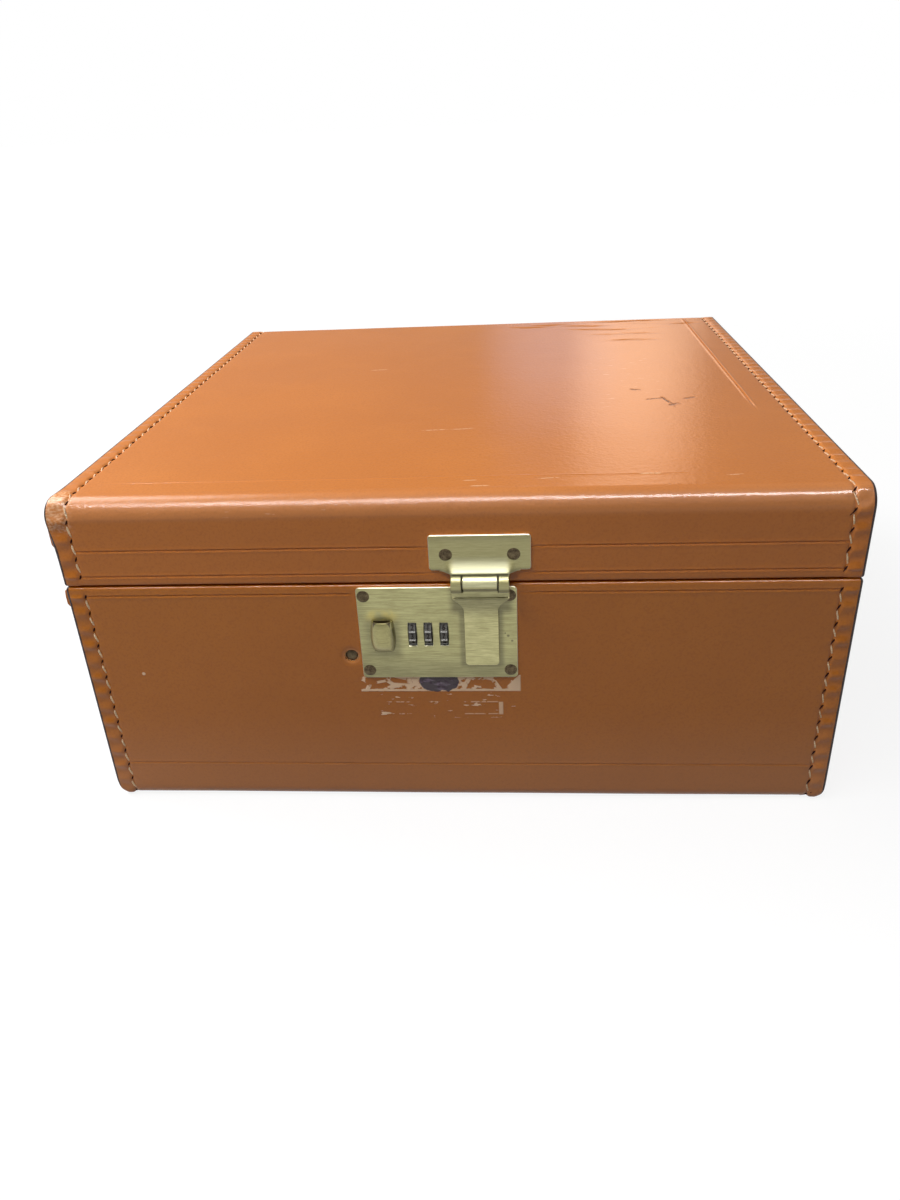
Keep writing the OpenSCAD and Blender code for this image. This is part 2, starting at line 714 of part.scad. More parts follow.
// The formed hood that the thumb pushes down, with its foot, stem and riveted tail
module thumb_hood() {
    axis_y = front_y - hood_axis_off;
    foot_y = front_y - hood_foot_off;
    end_z = hood_z0 + hood_r;
    color(brass_colour) {
        difference() {
            union() {
                translate([hood_x, axis_y, end_z]) cylinder(r = hood_r, h = hood_z1 - end_z);
                translate([hood_x, axis_y, end_z]) sphere(hood_r);
            }
            translate([hood_x, axis_y, end_z]) cylinder(r = hood_r - hood_t, h = hood_h);
            translate([hood_x, axis_y, end_z]) sphere(hood_r - hood_t);
            span_box([hood_x - hood_h, foot_y, hood_z0 - cut],
                [hood_x + hood_h, foot_y + 2 * hood_r, hood_z1 + cut]);
        }
        span_box([hood_x - hood_r + hood_t / 2, foot_y - hood_t, end_z - hood_t],
            [hood_x + hood_r - hood_t / 2, foot_y, hood_z1 - hood_t]);
        span_box([hood_x - stem_w / 2, foot_y - hood_t / 2, stem_z0],
            [hood_x + stem_w / 2, front_y - bar_front_off, stem_z1]);
        translate([hood_x, foot_y, (stem_z0 + stem_z1) / 2]) rotate([-90, 0, 0]) {
            cylinder(r = shank_r, h = hood_foot_off - bar_back_off + rivet_head_h / 2);
            translate([0, 0, hood_foot_off - bar_back_off])
                cylinder(r = stem_w / 2 - slide_clear, h = rivet_head_h / 2);
        }
    }
}

// The bar behind the plate: a column on the hood's stem, a spring seat and an arm to the catch
module latch_bar() {
    hook_x0 = catch_x0 - catch_clear;
    hook_x1 = catch_x1 + catch_clear;
    color(steel_colour) difference() {
        union() {
            on_front(bar_back_off) linear_extrude(bar_t) {
                translate([bar_x0, bar_z0]) square([hook_x1 - bar_x0, bar_h]);
                translate([bar_x0, bar_z0]) square([hood_x + stem_w / 2 - bar_x0, stem_z1 - bar_z0]);
                translate([hook_x0, bar_z0]) square([hook_x1 - hook_x0, bar_hook_z - bar_z0]);
            }
            span_box([hood_x - stem_w / 2, front_y - bar_front_off, spring_seat_z],
                [hood_x + stem_w / 2, front_y - bar_back_off + spring_seat_depth,
                    spring_seat_z + bar_t]);
        }
        translate([hood_x, front_y, (stem_z0 + stem_z1) / 2]) rotate([-90, 0, 0])
            cylinder(r = shank_r, h = lock_case_depth);
    }
}

// Ring i of the return spring: six points round the wire's middle
function spring_ring(i, steps, rise) =
    let(turn = 360 * spring_turns * i / steps, z = rise * i / steps)
    [for (k = [0 : 5]) let(r = spring_r + spring_wire / 2 * cos(60 * k))
        [r * cos(turn), r * sin(turn), z + spring_wire / 2 * sin(60 * k)]];

// A round wire wound from the case floor up to the latch bar's seat
module return_spring() {
    rise = spring_z1 - spring_z0 - spring_wire;
    steps = 10 * spring_turns;
    rings = [for (i = [0 : steps]) each spring_ring(i, steps, rise)];
    last = 6 * steps;
    sides = [for (i = [0 : steps - 1], k = [0 : 5])
        let(a = 6 * i + k, b = 6 * i + (k + 1) % 6)
        each [[a, b, b + 6], [a, b + 6, a + 6]]];
    caps = [for (k = [1 : 4]) each [[0, k + 1, k], [last, last + k, last + k + 1]]];
    echo(spring_gap = rise / spring_turns - spring_wire);
    color(steel_colour)
        translate([hood_x, front_y - spring_off, spring_z0 + spring_wire / 2])
            polyhedron(points = rings, faces = concat(sides, caps));
}

// A hinge leaf round the pin, side +1 for the lid and -1 for the base
module hinge_leaf(x, side) {
    own = side > 0 ? [1] : [0, 2];
    other = side > 0 ? [0, 2] : [1];
    step = hinge_knuckle_w + knuckle_gap;
    left = x - hinge_w / 2;
    reach = hinge_knuckle_r + swing_clear;
    color(brass_colour) difference() {
        union() {
            difference() {
                translate([x, back_y + leaf_t, hinge_pin_z]) rotate([90, 0, 0])
                    linear_extrude(leaf_t) mirror([0, side > 0 ? 0 : 1])
                        rounded_plate(-hinge_w / 2, 0, hinge_w / 2, leaf_h, plate_corner_r);
                for (i = other) x_bar(reach, left + i * step - knuckle_gap,
                    left + i * step + hinge_knuckle_w + knuckle_gap, hinge_pin_y, hinge_pin_z);
            }
            for (i = own) x_bar(hinge_knuckle_r, left + i * step,
                left + i * step + hinge_knuckle_w, hinge_pin_y, hinge_pin_z);
        }
        x_bar(hinge_pin_r + (side > 0 ? pin_clear : 0), left - cut, left + hinge_w + cut,
            hinge_pin_y, hinge_pin_z);
        at_back([x], side) rivet_hole();
    }
}

// The lid's leaf also has the rib that stops on the base's leaf when the lid is open
module hinge_lid_leaf(x) {
    half = hinge_knuckle_w / 2;
    hinge_leaf(x, 1);
    color(brass_colour) difference() {
        span_box([x - half, hinge_pin_y, hinge_pin_z - stop_half_t],
            [x + half, hinge_pin_y + stop_reach, hinge_pin_z + stop_half_t]);
        x_bar(hinge_pin_r + pin_clear, x - hinge_w, x + hinge_w, hinge_pin_y, hinge_pin_z);
    }
}

module hinge_pin(x) {
    color(steel_colour)
        x_bar(hinge_pin_r, x - hinge_w / 2, x + hinge_w / 2, hinge_pin_y, hinge_pin_z);
}

module hinge_rivets(side) {
    color(rivet_colour) at_back(hinge_xs, side) rivet(leaf_t);
}

module lid_carcass() {
    color(board_colour) difference() {
        along_x(-board_x, board_x) lid_board_outline();
        room(lid_bottom, room_top);
        lid_cuts();
    }
}

module lid_wrap() {
    color(leather_colour) difference() {
        along_x(-case_w / 2, case_w / 2) lid_outline();
        along_x(-case_w / 2 - cut, case_w / 2 + cut) lid_board_outline();
        span_box([-case_w, -room_y, lid_bottom - cut], [case_w, room_y, room_top]);
        lid_cuts();
        front_creases([lid_bottom + crease_rim, lid_bottom + crease_lid]);
        top_creases();
    }
}

module lid_end() {
    color(leather_colour) {
        along_x(board_x, board_x + leather_t) lid_board_outline();
        span_box([room_x, -room_y, lid_bottom], [board_x + leather_t, room_y, lid_bottom + leather_t]);
    }
}

module lid_lining() {
    lining_z0 = base_top + rim_rise + rim_head_clear;
    color(cloth_colour) difference() {
        room(lining_z0, room_top);
        span_box([-lined_x, -lined_y, lining_z0 - cut], [lined_x, lined_y, lined_top]);
    }
}

module lid_pad() {
    color(cloth_colour)
        span_box([pad_margin - lined_x, pad_margin - lined_y, lined_top - pad_t],
            [lined_x - pad_margin, lined_y - pad_margin, lined_top]);
}

// The riveted plate, its swelling neck and the two outer knuckles of the hasp's hinge
module hasp_bracket() {
    knuckle_x0s = [hasp_x0, hasp_x1 - outer_knuckle_w];
    color(brass_colour) difference() {
        union() {
            on_front() linear_extrude(bracket_t)
                rounded_plate(bracket_right - bracket_w / 2, bracket_z0,
                    bracket_right + bracket_w / 2, bracket_z1, bracket_corner_r);
            along_x(hasp_x0, hasp_x1) neck_profile();
            for (x = knuckle_x0s) {
                x_bar(hasp_knuckle_r, x, x + outer_knuckle_w, hasp_pin_y, hasp_pin_z);
                span_box([x, hasp_pin_y, hasp_pin_z],
                    [x + outer_knuckle_w, front_y - bracket_t, awning_z0 + swing_clear]);
                span_box([x, hasp_pin_y - hasp_knuckle_r, hasp_pin_z - knuckle_tail],
                    [x + outer_knuckle_w, hasp_pin_y - hasp_knuckle_r + bracket_t, hasp_pin_z]);
            }
        }
        x_bar(hasp_pin_r, hasp_x0 - cut, hasp_x1 + cut, hasp_pin_y, hasp_pin_z);
        at_front(bracket_rivet_xs, [bracket_rivet_z]) rivet_hole();
    }
}

// Side outline of the neck: it leaves the plate and swells out over the hinge
module neck_profile() {
    root_y = front_y - bracket_t;
    lip_y = hasp_pin_y - swing_clear;
    root_z = bracket_z0 + bracket_t + neck_rise;
    brow_z = awning_z0 + neck_lip;
    steps = 10;
    swell = [for (i = [0 : steps]) let(t = 180 * i / steps)
        [root_y + (lip_y - root_y) * (1 - cos(t)) / 2, root_z + (brow_z - root_z) * i / steps]];
    polygon(concat([[front_y, awning_z0], [front_y, root_z]], swell, [[lip_y, awning_z0]]));
}

module hasp_bracket_rivets() {
    color(rivet_colour) at_front(bracket_rivet_xs, [bracket_rivet_z]) rivet(bracket_t);
}

module hasp_pin() {
    color(steel_colour) x_bar(hasp_pin_r, hasp_x0, hasp_x1, hasp_pin_y, hasp_pin_z);
}

// One side of the hasp's hollow shoulders, from the tongue up to the flange
function shoulder_curve(side, half) =
    [for (i = [0 : 6]) let(t = i / 6)
        [bracket_right + side * (half + (neck_w / 2 - half) * pow(t, 1.6)), tongue_z1 + shoulder_h * t]];

// Front outline of the hasp: flange, hollow shoulders and tongue
module hasp_outline() {
    half = tongue_w / 2;
    left = shoulder_curve(-1, half);
    polygon(concat([[hasp_x0, flange_z1], [hasp_x1, flange_z1]],
        [for (i = [6 : -1 : 0]) shoulder_curve(1, half)[i]], left));
    difference() {
        translate([bracket_right - half, tongue_z0]) square([tongue_w, tongue_z1 - tongue_z0]);
        for (side = [0, 1]) translate([bracket_right, 0]) mirror([side, 0])
            translate([-half, tongue_z0]) corner_waste(tongue_corner_r);
    }
    translate([centre_knuckle_x0, flange_z0])
        square([centre_knuckle_x1 - centre_knuckle_x0, hasp_pin_z - flange_z0]);
}

module hasp() {
    color(brass_colour) difference() {
        union() {
            on_front(hasp_off) linear_extrude(hasp_t) hasp_outline();
            on_front(hasp_off + hasp_t) linear_extrude(lip_proud)
                translate([hasp_x0, flange_z0]) square([neck_w, lip_h]);
            x_bar(hasp_knuckle_r, centre_knuckle_x0, centre_knuckle_x1, hasp_pin_y, hasp_pin_z);
        }
        x_bar(hasp_pin_r + pin_clear, hasp_x0 - cut, hasp_x1 + cut, hasp_pin_y, hasp_pin_z);
    }
}

// The hooked catch on the hasp's back that the latch bar holds
module hasp_catch() {
    back = front_y - hasp_off;
    color(steel_colour) {
        span_box([catch_x0, back, catch_leg_z0],
            [catch_x1, front_y + catch_reach, catch_leg_z0 + catch_t]);
        span_box([catch_x0, front_y + catch_reach - catch_t, catch_tip_z0],
            [catch_x1, front_y + catch_reach, catch_leg_z0 + catch_t]);
    }
}

base_carcass();
base_wrap();
mirror([1, 0, 0]) base_end();  // base_end_left
base_end();  // base_end_right
base_lining();
inner_rim();
long_divider(divider_left_x, -lined_y);  // bottle_divider_left
long_divider(divider_right_x, -lined_y);  // bottle_divider_right
cross_divider(tumbler_front_y);  // tumbler_front_divider
tumbler_cross_divider();
tumbler_long_divider();
lock_plate();
lock_plate_rivets();
front_rivet();
lock_case();
dial_spindle();
spindle_collar();
detent_strip();
return_spring();
dial(dial_xs[0]);  // dial_left
dial(dial_xs[1]);  // dial_middle
dial(dial_xs[2]);  // dial_right
thumb_hood();
latch_bar();
hinge_leaf(hinge_xs[0], -1);  // hinge_base_leaf_left
hinge_leaf(hinge_xs[1], -1);  // hinge_base_leaf_right
hinge_pin(hinge_xs[0]);  // hinge_pin_left
hinge_pin(hinge_xs[1]);  // hinge_pin_right
hinge_rivets(-1);  // hinge_base_rivets
lid_carcass();
lid_wrap();
mirror([1, 0, 0]) lid_end();  // lid_end_left
lid_end();  // lid_end_right
lid_lining();
lid_pad();
hinge_lid_leaf(hinge_xs[0]);  // hinge_lid_leaf_left
hinge_lid_leaf(hinge_xs[1]);  // hinge_lid_leaf_right
hinge_rivets(1);  // hinge_lid_rivets
hasp_bracket();
hasp_bracket_rivets();
hasp_pin();
hasp();
hasp_catch();
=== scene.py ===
"""Looks of the leather travel bar case: hide, thread, brass, dials, lining, light and camera."""
import sys

import json
import logging
import math
from collections.abc import Sequence
from dataclasses import dataclass, field
from enum import Enum
from functools import cached_property

import bmesh
import bpy
import numpy as np
from mathutils import Matrix, Vector, noise

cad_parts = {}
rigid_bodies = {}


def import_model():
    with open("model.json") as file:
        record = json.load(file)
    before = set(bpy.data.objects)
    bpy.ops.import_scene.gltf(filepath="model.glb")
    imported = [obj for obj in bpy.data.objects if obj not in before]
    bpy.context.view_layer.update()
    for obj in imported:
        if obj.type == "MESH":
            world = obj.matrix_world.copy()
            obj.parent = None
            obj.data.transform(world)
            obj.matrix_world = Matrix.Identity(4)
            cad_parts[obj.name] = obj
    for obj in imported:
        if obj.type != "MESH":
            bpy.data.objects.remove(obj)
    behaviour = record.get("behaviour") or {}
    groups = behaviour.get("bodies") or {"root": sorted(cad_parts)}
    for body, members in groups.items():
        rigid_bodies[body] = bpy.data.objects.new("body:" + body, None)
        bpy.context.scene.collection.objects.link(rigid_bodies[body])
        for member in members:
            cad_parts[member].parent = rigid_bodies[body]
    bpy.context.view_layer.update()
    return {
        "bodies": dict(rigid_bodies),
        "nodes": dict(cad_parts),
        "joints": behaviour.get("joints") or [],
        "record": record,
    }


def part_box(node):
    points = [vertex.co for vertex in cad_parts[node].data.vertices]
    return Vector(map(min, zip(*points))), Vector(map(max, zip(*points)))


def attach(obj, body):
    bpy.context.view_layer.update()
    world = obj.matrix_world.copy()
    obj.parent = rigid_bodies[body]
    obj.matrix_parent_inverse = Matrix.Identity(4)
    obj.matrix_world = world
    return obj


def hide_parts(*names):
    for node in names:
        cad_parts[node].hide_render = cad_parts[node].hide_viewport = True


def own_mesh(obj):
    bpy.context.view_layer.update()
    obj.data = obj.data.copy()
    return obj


log = logging.getLogger("travel_bar_case")
MM = 0.001
Colour = tuple[float, float, float, float]
Socket = bpy.types.NodeSocket
Number = float | Socket


def tone(red: float, green: float, blue: float) -> Colour:
    """Turns a colour as a screen shows it into the linear colour that a shader takes.

    Args:
        red: Red from 0 to 255.
        green: Green from 0 to 255.
        blue: Blue from 0 to 255.

    Returns:
        The linear colour, opaque.
    """
    shares = [value / 255 for value in (red, green, blue)]
    linear = [s / 12.92 if s <= 0.04045 else ((s + 0.055) / 1.055) ** 2.4 for s in shares]
    return (*linear, 1.0)


def box_mm(node: str) -> tuple[Vector, Vector]:
    """Gives a CAD node's lowest and highest corners in millimetres."""
    low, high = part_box(node)
    return low / MM, high / MM


def ease(value: np.ndarray | float, low: float, high: float) -> np.ndarray:
    """Rises smoothly from 0 at low to 1 at high."""
    share = np.clip((np.asarray(value, float) - low) / (high - low), 0, 1)
    return share * share * (3 - 2 * share)


# ---------------------------------------------------------------- meshes

def make_piece(name: str, points: Sequence, faces: Sequence) -> bpy.types.Object:
    """Makes a closed mesh with its place in its points and its faces outwards.

    Args:
        name: Name of the piece.
        points: Points in millimetres.
        faces: Point numbers of each face.

    Returns:
        The new object, at the origin.
    """
    mesh = bpy.data.meshes.new(name)
    mesh.from_pydata((np.asarray(points, float) * MM).tolist(), [], [list(f) for f in faces])
    work = bmesh.new()
    work.from_mesh(mesh)
    bmesh.ops.remove_doubles(work, verts=work.verts, dist=1e-7)
    bmesh.ops.recalc_face_normals(work, faces=work.faces)
    work.to_mesh(mesh)
    work.free()
    piece = bpy.data.objects.new(name, mesh)
    bpy.context.scene.collection.objects.link(piece)
    return piece


def shade(piece: bpy.types.Object, angle: float = 40.0) -> bpy.types.Object:
    """Shades a piece smooth except across edges sharper than angle degrees."""
    piece.data.shade_smooth()
    piece.data.set_sharp_from_angle(angle=math.radians(angle))
    return piece


def even(piece: bpy.types.Object) -> bpy.types.Object:
    """Keeps large faces evenly shaded between their rounded edges."""
    piece.modifiers.new("even", "WEIGHTED_NORMAL").keep_sharp = True
    return bake(piece)


def bake(piece: bpy.types.Object) -> bpy.types.Object:
    """Turns a piece with live modifiers into a plain mesh with none."""
    graph = bpy.context.evaluated_depsgraph_get()
    mesh = bpy.data.meshes.new_from_object(piece.evaluated_get(graph), depsgraph=graph)
    piece.modifiers.clear()
    piece.data = mesh
    mesh.name = piece.name
    return piece


def skin(name: str, loops: np.ndarray) -> bpy.types.Object:
    """Skins a run of closed loops and caps both ends.

    Args:
        name: Name of the piece.
        loops: Points in millimetres, by loop and by place in the loop.

    Returns:
        The closed piece.
    """
    count, around, _ = loops.shape
    index = np.arange(count * around).reshape(count, around)
    after = np.roll(index, -1, axis=1)
    quads = np.stack([index[:-1], after[:-1], after[1:], index[1:]], axis=-1).reshape(-1, 4)
    faces = quads.tolist() + [index[0][::-1].tolist(), index[-1].tolist()]
    return make_piece(name, loops.reshape(-1, 3), faces)


def solid_box(low: Sequence[float], high: Sequence[float], name: str = "block") -> bpy.types.Object:
    """Makes a plain box between two corners in millimetres."""
    corners = [(x, y, z) for x in (low[0], high[0]) for y in (low[1], high[1]) for z in (low[2], high[2])]
    faces = [(0, 1, 3, 2), (4, 6, 7, 5), (0, 4, 5, 1), (2, 3, 7, 6), (0, 2, 6, 4), (1, 5, 7, 3)]
    return make_piece(name, corners, faces)


def round_bar(start: Vector, along: Vector, radius: float, sides: int = 24,
              name: str = "bar") -> bpy.types.Object:
    """Makes a round bar from start, as long and in the direction of along."""
    turn = along.to_track_quat("Z", "Y")
    ring = [turn @ Vector((radius * math.cos(a), radius * math.sin(a), 0))
            for a in np.linspace(0, 2 * math.pi, sides, endpoint=False)]
    return skin(name, np.array([[start + p for p in ring], [start + along + p for p in ring]]))


def carve(piece: bpy.types.Object, cutter: bpy.types.Object) -> None:
    """Cuts one closed mesh out of another and removes the cutter."""
    cut = piece.modifiers.new("cut", "BOOLEAN")
    cut.operation, cut.solver, cut.object = "DIFFERENCE", "EXACT", cutter
    bake(piece)
    bpy.data.objects.remove(cutter)


def join(name: str, pieces: Sequence[bpy.types.Object]) -> bpy.types.Object:
    """Puts several meshes, all in place, into one piece."""
    work = bmesh.new()
    for piece in pieces:
        work.from_mesh(piece.data)
        bpy.data.objects.remove(piece)
    mesh = bpy.data.meshes.new(name)
    work.to_mesh(mesh)
    work.free()
    joined = bpy.data.objects.new(name, mesh)
    bpy.context.scene.collection.objects.link(joined)
    return joined


# ---------------------------------------------------------------- materials

class ShaderTree:
    """One node material on a Principled shader, in millimetres of the object's own frame."""

    def __init__(self, name: str) -> None:
        """Starts the material with the place of each point split into its axes."""
        self.material = bpy.data.materials.new(name)
        self.material.use_nodes = True
        self.tree = self.material.node_tree
        self.tree.nodes.clear()
        self.shader = self.node("ShaderNodeBsdfPrincipled")
        self.tree.links.new(self.shader.outputs[0],
                            self.node("ShaderNodeOutputMaterial").inputs["Surface"])
        scaled = self.node("ShaderNodeVectorMath", operation="SCALE")
        self.put(scaled.inputs[0], self.node("ShaderNodeTexCoord").outputs["Object"])
        scaled.inputs["Scale"].default_value = 1 / MM
        self.place = scaled.outputs[0]
        self.x, self.y, self.z = self.node("ShaderNodeSeparateXYZ", Vector=self.place).outputs

    def node(self, kind: str, **settings: object) -> bpy.types.Node:
        """Adds a node; a setting with a capital is one of its inputs, else a property."""
        made = self.tree.nodes.new(kind)
        for key, value in settings.items():
            if key[0].isupper():
                self.put(made.inputs[key.replace("_", " ")], value)
            else:
                setattr(made, key, value)
        return made

    def put(self, socket: Socket, value: object) -> None:
        """Links a socket's value, or sets it when it is a plain one."""
        if isinstance(value, Socket):
            self.tree.links.new(value, socket)
        else:
            socket.default_value = value

    def math(self, operation: str, first: Number, second: Number = 0.0,
             clamp: bool = False) -> Socket:
        """Adds one sum of two numbers."""
        made = self.node("ShaderNodeMath", operation=operation, use_clamp=clamp)
        self.put(made.inputs[0], first)
        self.put(made.inputs[1], second)
        return made.outputs[0]

    def add(self, *terms: Number) -> Socket:
        """Adds up several numbers."""
        total = terms[0]
        for term in terms[1:]:
            total = self.math("ADD", total, term)
        return total

    def times(self, *factors: Number) -> Socket:
        """Multiplies several numbers."""
        product = factors[0]
        for factor in factors[1:]:
            product = self.math("MULTIPLY", product, factor)
        return product

    def most(self, *values: Number) -> Socket:
        """Gives the greatest of several numbers."""
        best = values[0]
        for value in values[1:]:
            best = self.math("MAXIMUM", best, value)
        return best

    def mapped(self, size: float, stretch: Sequence[float], shift: float) -> Socket:
        """Scales the place so that one unit is size millimetres times stretch."""
        return self.node("ShaderNodeMapping", Vector=self.place, Location=(shift, shift * 1.7, shift * 0.6),
                         Scale=tuple(1 / (size * s) for s in stretch)).outputs[0]

    def noise(self, size: float, detail: float = 2.0, stretch: Sequence[float] = (1, 1, 1),
              shift: float = 0.0, roughness: float = 0.5) -> Socket:
        """Gives cloudy noise around 0.5 whose blots are about size millimetres."""
        return self.node("ShaderNodeTexNoise", Vector=self.mapped(size, stretch, shift), Scale=1.0,
                         Detail=detail, Roughness=roughness).outputs[0]

    def cells(self, size: float, stretch: Sequence[float] = (1, 1, 1), shift: float = 0.0,
              feature: str = "DISTANCE_TO_EDGE") -> Socket:
        """Gives the distance to the edge, or middle, of cells about size millimetres wide."""
        return self.node("ShaderNodeTexVoronoi", feature=feature, Scale=1.0,
                         Vector=self.mapped(size, stretch, shift)).outputs["Distance"]

    def step(self, value: Number, low: Number, high: Number) -> Socket:
        """Rises smoothly from 0 at low to 1 at high."""
        made = self.node("ShaderNodeMapRange", interpolation_type="SMOOTHSTEP")
        for key, item in (("Value", value), ("From Min", low), ("From Max", high)):
            self.put(made.inputs[key], item)
        return made.outputs[0]

    def fall(self, value: Number, low: Number, high: Number) -> Socket:
        """Falls smoothly from 1 at low to 0 at high."""
        return self.math("SUBTRACT", 1.0, self.step(value, low, high))

    def inside(self, value: Number, low: float, high: float, soft: float = 0.3) -> Socket:
        """Is 1 between low and high and fades over soft at both."""
        away = self.math("ABSOLUTE", self.math("SUBTRACT", value, (low + high) / 2))
        half = (high - low) / 2
        return self.fall(away, half - soft, half + soft)

    def spot(self, across: Number, along: Number, centre: tuple[float, float], radius: float,
             soft: float) -> Socket:
        """Is 1 in a round spot on a plane of two axes."""
        a = self.math("SUBTRACT", across, centre[0])
        b = self.math("SUBTRACT", along, centre[1])
        away = self.math("SQRT", self.add(self.times(a, a), self.times(b, b)))
        return self.fall(away, radius - soft, radius + soft)

    def stroke(self, across: Number, along: Number, centre: tuple[float, float], length: float,
               degrees: float, width: float) -> Socket:
        """Is 1 on a short stroke on a plane of two axes, slightly uneven."""
        turn = math.radians(degrees)
        a = self.math("SUBTRACT", across, centre[0])
        b = self.math("SUBTRACT", along, centre[1])
        run = self.add(self.times(a, math.cos(turn)), self.times(b, math.sin(turn)))
        aside = self.add(self.times(a, -math.sin(turn)), self.times(b, math.cos(turn)),
                         self.times(self.math("SUBTRACT", self.noise(5), 0.5), 1.6))
        return self.times(self.inside(run, -length / 2, length / 2, length * 0.2),
                          self.inside(aside, -width / 2, width / 2, width * 0.35))

    def mix(self, share: Number, first: Colour | Socket, second: Colour | Socket) -> Socket:
        """Mixes two colours."""
        made = self.node("ShaderNodeMix", data_type="RGBA")
        for index, value in ((0, share), (6, first), (7, second)):
            self.put(made.inputs[index], value)
        return made.outputs[2]

    def bump(self, height: Number, strength: float = 1.0) -> Socket:
        """Turns a height in millimetres into a normal."""
        return self.node("ShaderNodeBump", Strength=strength, Distance=MM, Height=height).outputs[0]

    def finish(self, base: Colour | Socket, roughness: Number, normal: Socket | None = None,
               metallic: float = 0.0, **fixed: float | Colour) -> bpy.types.Material:
        """Feeds the shader; fixed names constants set on its own sockets."""
        self.put(self.shader.inputs["Base Color"], base)
        self.put(self.shader.inputs["Roughness"], roughness)
        self.shader.inputs["Metallic"].default_value = metallic
        if normal is not None:
            self.put(self.shader.inputs["Normal"], normal)
        for key, value in fixed.items():
            self.shader.inputs[key.replace("_", " ")].default_value = value
        return self.material


class Wear(Enum):
    """Where the marks of use on a hide are."""

    PLAIN = "plain"
    LID = "lid"
    BASE = "base"


